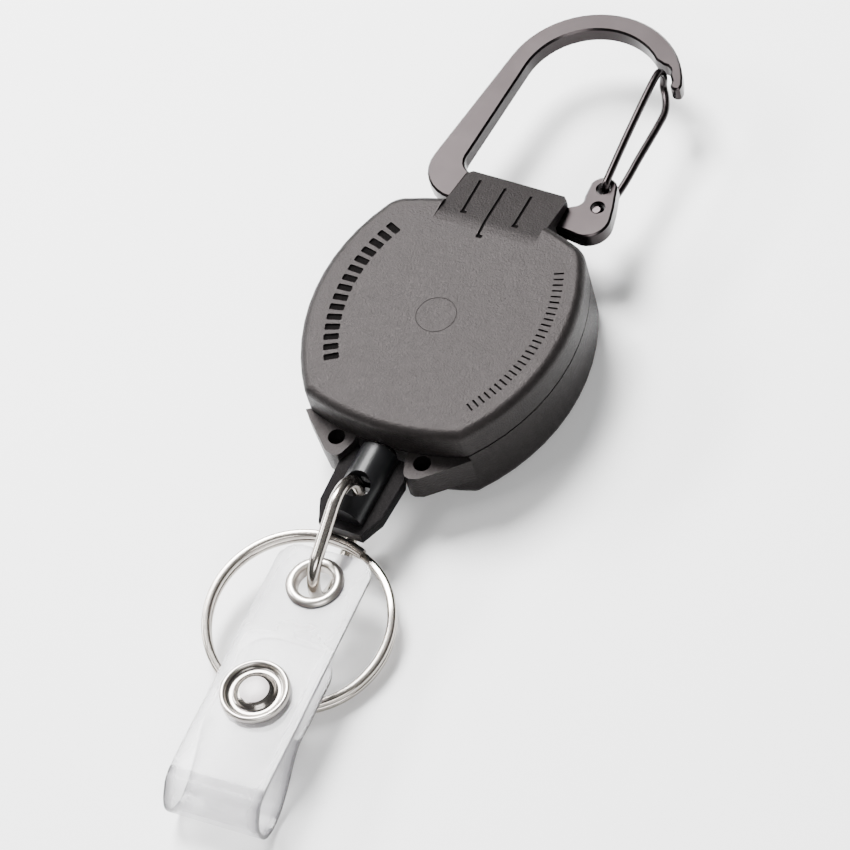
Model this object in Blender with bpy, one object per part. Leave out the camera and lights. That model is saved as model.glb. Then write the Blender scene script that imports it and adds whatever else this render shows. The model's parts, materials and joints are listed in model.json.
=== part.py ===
"""Retractable badge reel: a wind-up cord reel on a carabiner, with a key ring and a snap strap.

The reel lies on its back. +Z points out of its front face, +Y towards the carabiner, and the
origin is on the spool's axis in the plane of the back face. All sizes are in metres.
"""

import math

import bmesh
import bpy
from mathutils import Matrix, Vector

# Clearances
TOUCH_GAP = 0.0003        # between two pieces that rest on each other
THIN_GAP = 0.00015        # between small pressed or folded metal pieces
RUN_GAP = 0.0005          # between a turning piece and a fixed one
CUT_OVERRUN = 0.0004      # how far a cutter runs past the face it opens

# Case
CASE_THICKNESS = 0.0152
CASE_HALF_WIDTH = 0.0200
CASE_TOP = 0.0210         # +Y edge on the centre line
CASE_BOTTOM = -0.0203     # -Y edge on the centre line
CASE_WIDEST_Y = 0.0018
SIDE_RADIUS = 0.0310
END_RADIUS = 0.0380
SHOULDER_RADIUS = 0.0042  # plan corners beside the neck
HEEL_RADIUS = 0.0016      # plan corners beside the ears
WALL = 0.0016
FLOOR = 0.0016
PARTING_Z = 0.0099
FRONT_EDGE_RADIUS = 0.0014
REAR_EDGE_RADIUS = 0.0016

# Ears beside the docking notch
EAR_THICKNESS = 0.0049
EAR_HOLE_X = 0.0070
EAR_HOLE_Y = -0.0211
EAR_HOLE_RADIUS = 0.0013
EAR_TIP_Y = -0.0240
NOTCH_HALF_WIDTH = 0.0043
NOTCH_MOUTH_HALF_WIDTH = 0.0055

# Neck that clamps the carabiner
NECK_HALF_WIDTH = 0.0084
NECK_CORNER_LENGTH = 0.0008
NECK_TOP_Y = 0.0271
NECK_TOP_HALF_WIDTH = 0.0076
NECK_FRONT_DROP = 0.0026  # how far the neck's end lies below the front face
NECK_BACK_Z = 0.0062
NECK_RAMP_START_Y = 0.0185
NECK_POST_X = 0.0048
NECK_POST_Y = 0.0243
NECK_POST_RADIUS = 0.0011

# Carabiner plate
PLATE_THICKNESS = 0.0028
CROWN_X = 0.0016
CROWN_Y = 0.0480
CROWN_RADIUS = 0.0142
CROWN_WIDTH = 0.0032
HOOK_END_ANGLE = 17.0
FOOT_X = -0.0096
FOOT_Y = 0.0283
FOOT_RADIUS = 0.0060
SPINE_FOOT_WIDTH = 0.0050
TANG_TOP_Y = 0.0266
PLATE_EDGE_BEVEL = 0.0003
LOBE_RADIUS = 0.0036
LOBE_X = 0.0118
LOBE_Y = 0.0256
LOBE_HORN_RADIUS = 0.0022  # the end of the lobe that carries the upper gate pin
LOBE_HORN_RISE = 0.0055
LOBE_FILLET_RADIUS = 0.0018

# Wire gate
GATE_AXIS_X = 0.01225
GATE_AXIS_Y = 0.02935
GATE_PIN_OFFSET = 0.00175
GATE_WIRE_RADIUS = 0.0006
GATE_OPEN_DEGREES = 22.0
GATE_PIN_PLAY = 0.00055
GATE_TOP_X = 0.0111
GATE_TOP_Y = 0.0539

# Spool, spring and arbor
SPOOL_RADIUS = 0.0165
SPOOL_TOP_Z = 0.0120
SPOOL_FLANGE = 0.0008
SPOOL_WEB = 0.0012         # the disc between the hub and the drum
CORD_GROOVE_WIDTH = 0.0036
DRUM_RADIUS = 0.0130
DRUM_WALL = 0.0010
DRUM_BOTTOM_Z = 0.0036
HUB_RADIUS = 0.0042
ARBOR_RADIUS = 0.0022
ARBOR_BASE_RADIUS = 0.0050
ARBOR_BASE_THICKNESS = 0.0006
ARBOR_CORE_RADIUS = 0.0043  # the core that the spring's inner end hooks on
HUB_HEIGHT = 0.0042
SPRING_THICKNESS = 0.00032
SPRING_PITCH = 0.00088
SPRING_INNER_RADIUS = 0.0049
SPRING_COVER_THICKNESS = 0.0006
WASHER_THICKNESS = 0.0003

# Cord
CORD_RADIUS = 0.00055
WINDING_THICKNESS = 0.0021
BUSHING_RADIUS = 0.0020
BUSHING_BORE_RADIUS = 0.0010
BUSHING_FLANGE_RADIUS = 0.0028
BUSHING_FLANGE_THICKNESS = 0.0007

# Docking head
HEAD_AXIS_Z = 0.0086
BARREL_RADIUS = 0.0030
BARREL_LENGTH = 0.0120
HEAD_HALF_WIDTH = 0.0053
HEAD_LENGTH = 0.0134
HEAD_CORNER = 0.0036
HEAD_UNDER_RADIUS = 0.0013  # rounding along the keel's lower edges
HEAD_END_HALF_WIDTH = 0.0034
LINK_HOLE_Y = -0.0283
LINK_HOLE_RADIUS = 0.0022
KNOT_RADIUS = 0.0012
KNOT_LENGTH = 0.0026

# Oval link
LINK_WIRE_RADIUS = 0.00095
LINK_HALF_WIDTH = 0.0051  # wire centre line to the link's long axis
LINK_PIVOT = Vector((-0.0003, -0.03238, 0.0085))
LINK_SPAN = 0.0070        # between the centres of the two end arcs
LINK_SLOPE_DEGREES = 20.0
TAIL_YAW_DEGREES = 3.5    # how far the link and the strap lie turned to one side

# Split ring
RING_OUTER_RADIUS = 0.0140
RING_BAND = 0.0013
RING_TURN_HEIGHT = 0.00115
RING_TURN_GAP = 0.00015
RING_CENTRE = Vector((-0.0008, -0.0479, 0.00352))
RING_NORMAL = Vector((0.12, -0.10, 1.0))
RING_CROSSOVER_DEGREES = 24.0

# Strap
STRAP_HALF_WIDTH = 0.0073
STRAP_THICKNESS = 0.0006
STRAP_PIVOT = Vector((0.0004, -0.0434, 0.0073))
STRAP_END_PAST_GROMMET = 0.0056
STRAP_RISE = 0.035        # rise of the front layer for each unit of its length
FOLD_LENGTH = 0.0334      # grommet to the start of the fold
FOLD_DEPTH = 0.0043       # start of the fold to its far end
FOLD_DROP = 0.0066        # the fold's lowest point below the grommet
FOLD_TIP_SHARE = 0.53     # how far down the fold its outermost line lies
STRAP_CORNER_RADIUS = 0.0030
SNAP_DISTANCE = 0.0194    # grommet to snap
SNAP_OFFSET = -0.0005     # how far the snap sits to one side of the strap's middle
FLAP_AT_SNAP_DROP = 0.0025
FLAP_END_PAST_SNAP = 0.0110

# Grommet and snap
GROMMET_FLANGE_RADIUS = 0.00425
GROMMET_HOLE_RADIUS = 0.00265
GROMMET_SHEET = 0.00045
SNAP_RIM_RADIUS = 0.0051
SNAP_RIM_HEIGHT = 0.0011
SNAP_SOCKET_RADIUS = 0.0041
SNAP_STUD_RADIUS = 0.0019
SNAP_SHEET = 0.0005


# ---------------------------------------------------------------- worked-out values

PLATE_FRONT_Z = PARTING_Z + PLATE_THICKNESS / 2
PLATE_BACK_Z = PARTING_Z - PLATE_THICKNESS / 2
WINDING_TOP_Z = SPOOL_TOP_Z - SPOOL_FLANGE
WINDING_BOTTOM_Z = WINDING_TOP_Z - CORD_GROOVE_WIDTH
HEAD_TOP_Y = CASE_BOTTOM - TOUCH_GAP - RUN_GAP
HEAD_END_Y = HEAD_TOP_Y - HEAD_LENGTH
KNOT_Y = LINK_HOLE_Y + LINK_HOLE_RADIUS + KNOT_LENGTH / 2 + CUT_OVERRUN
FOLD_TOP_Z = STRAP_RISE * FOLD_LENGTH
FOLD_TIP = (-FOLD_LENGTH - FOLD_DEPTH, FOLD_TOP_Z - (FOLD_TOP_Z + FOLD_DROP) * FOLD_TIP_SHARE)


def clear_scene():
    for obj in list(bpy.data.objects):
        bpy.data.objects.remove(obj, do_unlink=True)


def material(name, colour, roughness, metallic=0.0, transmission=0.0):
    made = bpy.data.materials.new(name)
    made.use_nodes = True
    shader = made.node_tree.nodes["Principled BSDF"]
    shader.inputs["Base Color"].default_value = (*colour, 1.0)
    shader.inputs["Roughness"].default_value = roughness
    shader.inputs["Metallic"].default_value = metallic
    shader.inputs["Transmission Weight"].default_value = transmission
    return made


def add_object(name, data, finish, location=(0, 0, 0), parent=None):
    made = bpy.data.objects.new(name, data)
    bpy.context.scene.collection.objects.link(made)
    made.location = location
    if parent is not None:
        made.parent = parent
    if finish is not None:
        data.materials.append(finish)
    return made


def finish_mesh(name, mesh_data, finish, smooth_degrees=35.0, location=(0, 0, 0), parent=None):
    """Turns a bmesh into an object whose faces point outwards and whose round faces are smooth."""
    bmesh.ops.recalc_face_normals(mesh_data, faces=mesh_data.faces)
    mesh = bpy.data.meshes.new(name)
    mesh_data.to_mesh(mesh)
    mesh_data.free()
    mesh.shade_smooth()
    mesh.set_sharp_from_angle(angle=math.radians(smooth_degrees))
    return add_object(name, mesh, finish, location, parent)


def pivot(name, location, rotation=None):
    """An empty on a moving body's joint axis, which its pieces are parented to."""
    empty = bpy.data.objects.new(name, None)
    bpy.context.scene.collection.objects.link(empty)
    empty.location = location
    if rotation is not None:
        empty.rotation_euler = rotation
    return empty


# ---------------------------------------------------------------- outlines and solids

def arc(centre, radius, start, end, steps):
    """Points on an arc from start to end in degrees, both ends included."""
    turn = [math.radians(start + (end - start) * i / steps) for i in range(steps + 1)]
    return [(centre[0] + radius * math.cos(a), centre[1] + radius * math.sin(a)) for a in turn]


def angle_of(centre, point):
    return math.degrees(math.atan2(point[1] - centre[1], point[0] - centre[0]))


def meet(centre_a, radius_a, centre_b, radius_b):
    """The crossing of two circles that lies furthest towards +X."""
    a, b = Vector(centre_a), Vector(centre_b)
    apart = (b - a).length
    along = (radius_a ** 2 - radius_b ** 2 + apart ** 2) / (2 * apart)
    off = math.sqrt(radius_a ** 2 - along ** 2)
    forward = (b - a) / apart
    sideways = Vector((-forward.y, forward.x))
    crossings = [a + forward * along + sideways * off * side for side in (1, -1)]
    return tuple(max(crossings, key=lambda point: point.x))


def mirrored(points):
    return [(-x, y) for x, y in reversed(points)]


def case_outline(inset=0.0):
    """The case's plan outline, counter-clockwise, moved inwards by inset."""
    side_centre = (CASE_HALF_WIDTH - SIDE_RADIUS, CASE_WIDEST_Y)
    bottom_centre = (0.0, CASE_BOTTOM + END_RADIUS)
    top_centre = (0.0, CASE_TOP - END_RADIUS)
    side = SIDE_RADIUS - inset
    end = END_RADIUS - inset
    heel = max(HEEL_RADIUS - inset, HEEL_RADIUS / 4)
    shoulder = max(SHOULDER_RADIUS - inset, SHOULDER_RADIUS / 4)
    low = meet(side_centre, side - heel, bottom_centre, end - heel)
    high = meet(side_centre, side - shoulder, top_centre, end - shoulder)
    half = arc(bottom_centre, end, -90.0, angle_of(bottom_centre, low), 6)
    half += arc(low, heel, angle_of(bottom_centre, low), angle_of(side_centre, low), 4)[1:]
    half += arc(side_centre, side, angle_of(side_centre, low), angle_of(side_centre, high), 12)[1:]
    half += arc(high, shoulder, angle_of(side_centre, high), angle_of(top_centre, high), 7)[1:]
    half += arc(top_centre, end, angle_of(top_centre, high), 90.0, 5)[1:]
    return half + mirrored(half)[1:-1]


def prism(outline, low, high):
    """A bmesh of an outline in X and Y, extruded from height low to height high."""
    made = bmesh.new()
    base = made.faces.new([made.verts.new((x, y, low)) for x, y in outline])
    top = bmesh.ops.extrude_face_region(made, geom=[base])["geom"]
    raised = [v for v in top if isinstance(v, bmesh.types.BMVert)]
    bmesh.ops.translate(made, vec=(0, 0, high - low), verts=raised)
    bmesh.ops.recalc_face_normals(made, faces=made.faces)
    return made


def round_edges_at(mesh_data, height, radius, segments):
    """Rounds the edges that lie at one height."""
    rim = [e for e in mesh_data.edges if all(abs(v.co.z - height) < 1e-7 for v in e.verts)]
    bmesh.ops.bevel(mesh_data, geom=rim, offset=radius, segments=segments, profile=0.5, affect="EDGES")


def lathe(profile, steps=48):
    """A bmesh turned about Z from a closed profile of (radius, z) points."""
    made = bmesh.new()
    ring = [made.verts.new((r, 0.0, z)) for r, z in profile]
    edges = [made.edges.new((ring[i], ring[(i + 1) % len(ring)])) for i in range(len(ring))]
    bmesh.ops.spin(
        made, geom=ring + edges, cent=(0, 0, 0), axis=(0, 0, 1), angle=2 * math.pi, steps=steps,
        use_merge=True,
    )
    bmesh.ops.remove_doubles(made, verts=made.verts, dist=1e-7)
    flat = [f for f in made.faces if f.calc_area() < 1e-14]
    bmesh.ops.delete(made, geom=flat, context="FACES")
    bmesh.ops.recalc_face_normals(made, faces=made.faces)
    return made


def rod(radius, low, high, steps=32):
    return prism(arc((0.0, 0.0), radius, 0.0, 360.0 - 360.0 / steps, steps - 1), low, high)


def helper(name, mesh_data, location=(0, 0, 0), rotation=(0, 0, 0)):
    """A cutter or a block to join on, which is not a piece of the object."""
    made = finish_mesh(name, mesh_data, None, location=location)
    made.rotation_euler = rotation
    made.hide_render = True
    made.display_type = "WIRE"
    return made


def combine(target, other, operation):
    step = target.modifiers.new(f"{operation.lower()} {other.name}", "BOOLEAN")
    step.operation = operation
    step.solver = "EXACT"
    step.object = other


def wire(name, points, radius, finish, cyclic=False, resolution=3, parent=None, location=(0, 0, 0)):
    """A round wire or cord through the points, as a curve with filled ends."""
    data = bpy.data.curves.new(name, "CURVE")
    data.dimensions = "3D"
    data.bevel_depth = radius
    data.bevel_resolution = resolution
    data.use_fill_caps = True
    spline = data.splines.new("POLY")
    spline.points.add(len(points) - 1)
    for slot, point in zip(spline.points, points):
        slot.co = (*point, 1.0)
    spline.use_cyclic_u = cyclic
    return add_object(name, data, finish, location, parent)


def smooth_path(points, per_span):
    """Points along a smooth curve that passes through all the given ones."""
    knots = [Vector(p) for p in points]
    knots = [2 * knots[0] - knots[1]] + knots + [2 * knots[-1] - knots[-2]]
    path = []
    for a, b, c, d in zip(knots, knots[1:], knots[2:], knots[3:]):
        for step in range(per_span):
            t = step / per_span
            path.append(
                0.5 * (2 * b + (c - a) * t + (2 * a - 5 * b + 4 * c - d) * t ** 2
                       + (3 * b - a - 3 * c + d) * t ** 3)
            )
    return path + [knots[-2]]


# ---------------------------------------------------------------- case

def neck_outline():
    half = [
        (NECK_HALF_WIDTH, CASE_TOP - SHOULDER_RADIUS),
        (NECK_HALF_WIDTH, NECK_TOP_Y - NECK_CORNER_LENGTH),
        (NECK_TOP_HALF_WIDTH, NECK_TOP_Y),
    ]
    return half + mirrored(half)


def cut_common(cover):
    """The openings that the two covers share: the carabiner's slot and the cord's exit."""
    slot = prism(
        plate_outline(TOUCH_GAP), PLATE_BACK_Z - TOUCH_GAP, PLATE_FRONT_Z + TOUCH_GAP
    )
    combine(cover, helper(f"{cover.name} carabiner slot", slot), "DIFFERENCE")
    reach = WALL * 4
    bore = helper(
        f"{cover.name} cord exit", rod(BUSHING_RADIUS + THIN_GAP, -reach / 2, reach / 2),
        location=(0, CASE_BOTTOM + WALL / 2, HEAD_AXIS_Z), rotation=(math.pi / 2, 0, 0),
    )
    combine(cover, bore, "DIFFERENCE")


def front_cover(finish):
    body = prism(case_outline(), PARTING_Z + TOUCH_GAP / 2, CASE_THICKNESS)
    round_edges_at(body, CASE_THICKNESS, FRONT_EDGE_RADIUS, 3)
    cover = finish_mesh("front_cover", body, finish)

    neck = prism(neck_outline(), PARTING_Z + TOUCH_GAP / 2, CASE_THICKNESS - FRONT_EDGE_RADIUS / 4)
    drop = NECK_FRONT_DROP / (NECK_TOP_Y - NECK_RAMP_START_Y)
    for vert in neck.verts:
        if vert.co.z > PARTING_Z + TOUCH_GAP:
            vert.co.z = CASE_THICKNESS - max(vert.co.y - NECK_RAMP_START_Y, 0.0002) * drop
    combine(cover, helper("front neck", neck), "UNION")

    room = prism(case_outline(WALL), PARTING_Z - CUT_OVERRUN, CASE_THICKNESS - FLOOR)
    combine(cover, helper("front room", room), "DIFFERENCE")
    cut_common(cover)
    for side in (-1, 1):
        post_hole = rod(NECK_POST_RADIUS + THIN_GAP, PARTING_Z, PLATE_FRONT_Z + 0.0008, 16)
        at = (side * NECK_POST_X, NECK_POST_Y, 0)
        combine(cover, helper(f"front post hole {side}", post_hole, at), "DIFFERENCE")
    return cover


def ear_outline(side):
    """The plan of one ear, which grows out of the case beside the docking notch."""
    points = [
        (NOTCH_HALF_WIDTH, CASE_BOTTOM + WALL * 0.8),
        (NOTCH_HALF_WIDTH, CASE_BOTTOM - 0.0008),
        (NOTCH_MOUTH_HALF_WIDTH - 0.0004, EAR_TIP_Y + 0.0006),
        (NOTCH_MOUTH_HALF_WIDTH, EAR_TIP_Y + 0.0001),
        (NOTCH_MOUTH_HALF_WIDTH + 0.0008, EAR_TIP_Y - 0.0001),
        (EAR_HOLE_X + 0.0006, EAR_TIP_Y + 0.0003),
        (CASE_HALF_WIDTH * 0.5, CASE_BOTTOM - 0.0013),
        (CASE_HALF_WIDTH * 0.68, CASE_BOTTOM + 0.0020),
        (CASE_HALF_WIDTH * 0.60, CASE_BOTTOM + 0.0030),
    ]
    return [(side * x, y) for x, y in points]


def rear_cover(finish):
    body = prism(case_outline(), 0.0, PARTING_Z - TOUCH_GAP / 2)
    round_edges_at(body, 0.0, REAR_EDGE_RADIUS, 3)
    cover = finish_mesh("rear_cover", body, finish)

    room = prism(case_outline(WALL), FLOOR, PARTING_Z + CUT_OVERRUN)
    combine(cover, helper("rear room", room), "DIFFERENCE")
    for side in (-1, 1):
        ear = prism(ear_outline(side), PARTING_Z - EAR_THICKNESS, PARTING_Z - TOUCH_GAP / 2)
        combine(cover, helper(f"ear {side}", ear), "UNION")
        hole = rod(EAR_HOLE_RADIUS, 0.0, CASE_THICKNESS, 24)
        at = (side * EAR_HOLE_X, EAR_HOLE_Y, 0)
        combine(cover, helper(f"ear hole {side}", hole, at), "DIFFERENCE")

    neck = prism(neck_outline(), NECK_BACK_Z, PARTING_Z - TOUCH_GAP / 2)
    for vert in neck.verts:
        vert.co.y = max(vert.co.y, CASE_TOP - WALL * 0.6)
    combine(cover, helper("rear neck", neck), "UNION")
    cut_common(cover)
    for side in (-1, 1):
        post = rod(NECK_POST_RADIUS, PLATE_BACK_Z - 0.0006, PLATE_FRONT_Z + 0.0003, 16)
        at = (side * NECK_POST_X, NECK_POST_Y, 0)
        combine(cover, helper(f"neck post {side}", post, at), "UNION")
    return cover


# ---------------------------------------------------------------- carabiner and gate

def plate_outline(grow=0.0):
    """The carabiner's plan, counter-clockwise from the foot, every edge moved out by grow."""
    crown = (CROWN_X, CROWN_Y)
    outer = CROWN_RADIUS + grow
    inner = CROWN_RADIUS - CROWN_WIDTH - grow
    foot = (FOOT_X, FOOT_Y)
    foot_radius = FOOT_RADIUS + grow
    lobe = (LOBE_X, LOBE_Y)
    lobe_radius = LOBE_RADIUS + grow
    spine_x = FOOT_X - FOOT_RADIUS + SPINE_FOOT_WIDTH + grow

    points = arc(foot, foot_radius, 172.0, 270.0, 8)
    points += [(LOBE_X - 0.0020, FOOT_Y - foot_radius)]
    points += arc(lobe, lobe_radius, -86.0, 8.0, 8)
    points += [(LOBE_X + 0.0030 + grow, LOBE_Y + 0.0030)]
    points += arc((LOBE_X, LOBE_Y + LOBE_HORN_RISE), LOBE_HORN_RADIUS + grow, 30.0, 165.0, 7)
    points += [(LOBE_X - 0.0020 - grow, LOBE_Y + 0.0034)]
    fillet = (LOBE_X - 2 * LOBE_FILLET_RADIUS, LOBE_Y + 0.0029)
    points += arc(fillet, LOBE_FILLET_RADIUS - grow, -10.0, -70.0, 4)
    points += [(NECK_HALF_WIDTH * 0.8, TANG_TOP_Y - 0.0010 + grow), (NECK_HALF_WIDTH * 0.5, TANG_TOP_Y + grow)]
    points += [(spine_x + 0.0026, TANG_TOP_Y + grow)]
    corner = (spine_x + 0.0026, FOOT_Y + 0.0018)
    points += arc(corner, 0.0026, -110.0, -180.0, 5)
    points += arc(crown, inner, 176.0, 46.0, 20)
    points += hook_notch(grow)
    points += arc(crown, outer, HOOK_END_ANGLE + 2.0, 171.8, 26)
    return points


def hook_notch(grow):
    """The inner side of the hook, from the crown's inner arc round the gate's seat to the tip."""
    crown = Vector((CROWN_X, CROWN_Y))
    middle = CROWN_RADIUS - CROWN_WIDTH / 2
    tip_turn = math.radians(HOOK_END_ANGLE)
    tip = crown + Vector((math.cos(tip_turn), math.sin(tip_turn))) * (middle + 0.0006)
    seat = (GATE_TOP_X - 0.0001, GATE_TOP_Y + 0.0001)
    seat_radius = GATE_WIRE_RADIUS + TOUCH_GAP + 0.0005 - grow
    points = arc(seat, seat_radius, 100.0, 0.0, 6)
    points += [(tip.x - 0.0010 - grow, tip.y + 0.0010)]
    points += arc((tip.x, tip.y + 0.0006), 0.0010 + grow, 200.0, 320.0, 5)
    return points


def carabiner_plate(finish):
    body = prism(plate_outline(), PLATE_BACK_Z, PLATE_FRONT_Z)
    for height in (PLATE_BACK_Z, PLATE_FRONT_Z):
        round_edges_at(body, height, PLATE_EDGE_BEVEL, 1)
    plate = finish_mesh("carabiner_plate", body, finish, 25.0)
    for side in (-1, 1):
        hole = rod(NECK_POST_RADIUS + TOUCH_GAP, 0.0, CASE_THICKNESS, 20)
        at = (side * NECK_POST_X, NECK_POST_Y, 0)
        combine(plate, helper(f"plate post hole {side}", hole, at), "DIFFERENCE")
    swing = math.radians(GATE_OPEN_DEGREES / 2)
    hole_radius = GATE_WIRE_RADIUS + GATE_PIN_PLAY
    for side in (-1, 1):
        at = (
            GATE_AXIS_X - side * GATE_PIN_OFFSET * math.sin(swing),
            GATE_AXIS_Y + side * GATE_PIN_OFFSET * math.cos(swing),
            0,
        )
        hole = rod(hole_radius, 0.0, CASE_THICKNESS, 20)
        combine(plate, helper(f"gate pin hole {side}", hole, at), "DIFFERENCE")
    return plate


def gate_wire(finish, hinge):
    """One springy wire: a pin in the plate's upper hole, up the front, over the seat, down the back."""
    stand_off = PLATE_THICKNESS / 2 + GATE_WIRE_RADIUS + TOUCH_GAP
    top = Vector((GATE_TOP_X - GATE_AXIS_X, GATE_TOP_Y - GATE_AXIS_Y))
    front, back, depth = stand_off, -stand_off, PLATE_THICKNESS * 0.12
    route = [
        (0.0, GATE_PIN_OFFSET, depth),
        (0.0, GATE_PIN_OFFSET, front - 0.0010),
        (0.0, GATE_PIN_OFFSET + 0.0003, front - 0.0002),
        (-0.0001, GATE_PIN_OFFSET + 0.0014, front),
        (top.x * 0.5 - 0.0002, top.y * 0.5, front),
        (top.x - 0.0001, top.y - 0.0022, front),
        (top.x, top.y - 0.0004, front * 0.72),
        (top.x + 0.0001, top.y, 0.0),
        (top.x, top.y - 0.0004, back * 0.72),
        (top.x + 0.0002, top.y - 0.0024, back),
        (top.x * 0.4 + 0.0016, top.y * 0.58, back),
        (0.0006, GATE_PIN_OFFSET + 0.0040, back),
        (0.0, -GATE_PIN_OFFSET + 0.0014, back),
        (0.0, -GATE_PIN_OFFSET + 0.0003, back + 0.0002),
        (0.0, -GATE_PIN_OFFSET, back + 0.0010),
        (0.0, -GATE_PIN_OFFSET, depth),
    ]
    return wire("gate_wire", smooth_path(route, 4), GATE_WIRE_RADIUS, finish, parent=hinge)


# ---------------------------------------------------------------- reel mechanism

def arbor_post(finish):
    base = FLOOR + TOUCH_GAP
    top = CASE_THICKNESS - FLOOR - TOUCH_GAP
    core_top = SPOOL_TOP_Z - HUB_HEIGHT - RUN_GAP
    profile = [
        (0.0, base), (ARBOR_BASE_RADIUS, base), (ARBOR_BASE_RADIUS, base + ARBOR_BASE_THICKNESS),
        (ARBOR_CORE_RADIUS, base + ARBOR_BASE_THICKNESS), (ARBOR_CORE_RADIUS, core_top),
        (ARBOR_RADIUS, core_top), (ARBOR_RADIUS, top), (0.0, top),
    ]
    return finish_mesh("arbor_post", lathe(profile, 32), finish)


def spool(finish, axle):
    bore = ARBOR_RADIUS + RUN_GAP / 2
    top, flange = SPOOL_TOP_Z, SPOOL_FLANGE
    low_flange = WINDING_BOTTOM_Z
    inside = DRUM_RADIUS - DRUM_WALL
    web = top - SPOOL_WEB
    profile = [
        (bore, top - HUB_HEIGHT), (HUB_RADIUS, top - HUB_HEIGHT), (HUB_RADIUS, web),
        (inside, web), (inside, DRUM_BOTTOM_Z), (DRUM_RADIUS, DRUM_BOTTOM_Z),
        (DRUM_RADIUS, low_flange - flange), (SPOOL_RADIUS, low_flange - flange),
        (SPOOL_RADIUS, low_flange), (DRUM_RADIUS, low_flange), (DRUM_RADIUS, top - flange),
        (SPOOL_RADIUS, top - flange), (SPOOL_RADIUS, top), (bore, top),
    ]
    return finish_mesh("spool", lathe(profile, 48), finish, parent=axle)


def spring_cover(finish, axle):
    top = DRUM_BOTTOM_Z - THIN_GAP
    low = top - SPRING_COVER_THICKNESS
    inner = ARBOR_BASE_RADIUS + RUN_GAP
    profile = [(inner, low), (DRUM_RADIUS, low), (DRUM_RADIUS, top), (inner, top)]
    return finish_mesh("spring_cover", lathe(profile, 48), finish, parent=axle)


def spool_washer(finish):
    base = SPOOL_TOP_Z + THIN_GAP
    inner = ARBOR_RADIUS + THIN_GAP
    profile = [
        (inner, base), (HUB_RADIUS, base), (HUB_RADIUS, base + WASHER_THICKNESS),
        (inner, base + WASHER_THICKNESS),
    ]
    return finish_mesh("spool_washer", lathe(profile, 24), finish)


def power_spring(finish):
    """A flat strip wound in a spiral, hooked on the arbor, inside the drum."""
    low = DRUM_BOTTOM_Z + RUN_GAP
    high = SPOOL_TOP_Z - SPOOL_WEB - RUN_GAP
    outer = DRUM_RADIUS - DRUM_WALL - RUN_GAP - SPRING_THICKNESS / 2
    turns = (outer - SPRING_INNER_RADIUS) / SPRING_PITCH
    steps = int(turns * 24)
    made = bmesh.new()
    edges = []
    for side in (-0.5, 0.5):
        row = []
        for i in range(steps + 1):
            turn = 2 * math.pi * turns * i / steps
            radius = SPRING_INNER_RADIUS + SPRING_PITCH * turn / (2 * math.pi) + side * SPRING_THICKNESS
            row.append((radius * math.cos(turn), radius * math.sin(turn)))
        edges.append(row)
    rows = [
        [made.verts.new((x, y, z)) for x, y in row] for row in edges for z in (low, high)
    ]
    inner_low, inner_high, outer_low, outer_high = rows
    around = (inner_low, inner_high, outer_high, outer_low)
    for i in range(steps):
        for a, b in zip(around, around[1:] + around[:1]):
            made.faces.new((a[i], a[i + 1], b[i + 1], b[i]))
    made.faces.new([row[0] for row in around])
    made.faces.new([row[-1] for row in around])
    return finish_mesh("power_spring", made, finish)


def wound_cord(finish, axle):
    inner = DRUM_RADIUS + TOUCH_GAP
    low, high = WINDING_BOTTOM_Z + TOUCH_GAP, WINDING_TOP_Z - TOUCH_GAP
    soft = CORD_RADIUS * 0.8
    outer = inner + WINDING_THICKNESS
    profile = [
        (inner, low), (outer - soft, low), (outer, low + soft), (outer, high - soft),
        (outer - soft, high), (inner, high),
    ]
    return finish_mesh("wound_cord", lathe(profile, 48), finish, parent=axle)


def cord_lead(finish):
    """The stretch of cord from the winding's edge, through the bushing, to the knot in the head."""
    radius = DRUM_RADIUS + TOUCH_GAP + WINDING_THICKNESS + CORD_RADIUS + TOUCH_GAP
    exit_y = CASE_BOTTOM + WALL + BUSHING_FLANGE_THICKNESS
    leave = math.acos(radius / abs(exit_y))
    start = (-radius * math.sin(leave), -radius * math.cos(leave))
    guide = smooth_path([
        (*start, HEAD_AXIS_Z),
        (start[0] * 0.5, (start[1] + exit_y) / 2, HEAD_AXIS_Z),
        (start[0] * 0.06, exit_y + 0.0007, HEAD_AXIS_Z),
        (0.0, exit_y - 0.0010, HEAD_AXIS_Z),
        (0.0, CASE_BOTTOM, HEAD_AXIS_Z),
        (0.0, KNOT_Y + KNOT_LENGTH / 2 + TOUCH_GAP, HEAD_AXIS_Z),
    ], 4)
    return wire("cord_lead", guide, CORD_RADIUS, finish, resolution=2)


def cord_bushing(finish):
    """A flanged eyelet in the case wall, turned about the cord's exit."""
    inside = WALL + THIN_GAP
    profile = [
        (BUSHING_BORE_RADIUS, 0.0), (BUSHING_RADIUS, 0.0), (BUSHING_RADIUS, inside),
        (BUSHING_FLANGE_RADIUS, inside), (BUSHING_FLANGE_RADIUS, inside + BUSHING_FLANGE_THICKNESS),
        (BUSHING_BORE_RADIUS, inside + BUSHING_FLANGE_THICKNESS),
    ]
    turned = finish_mesh("cord_bushing", lathe(profile, 24), finish)
    turned.location = (0, CASE_BOTTOM, HEAD_AXIS_Z)
    turned.rotation_euler = (-math.pi / 2, 0, 0)
    return turned


# ---------------------------------------------------------------- docking head and link

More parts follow.
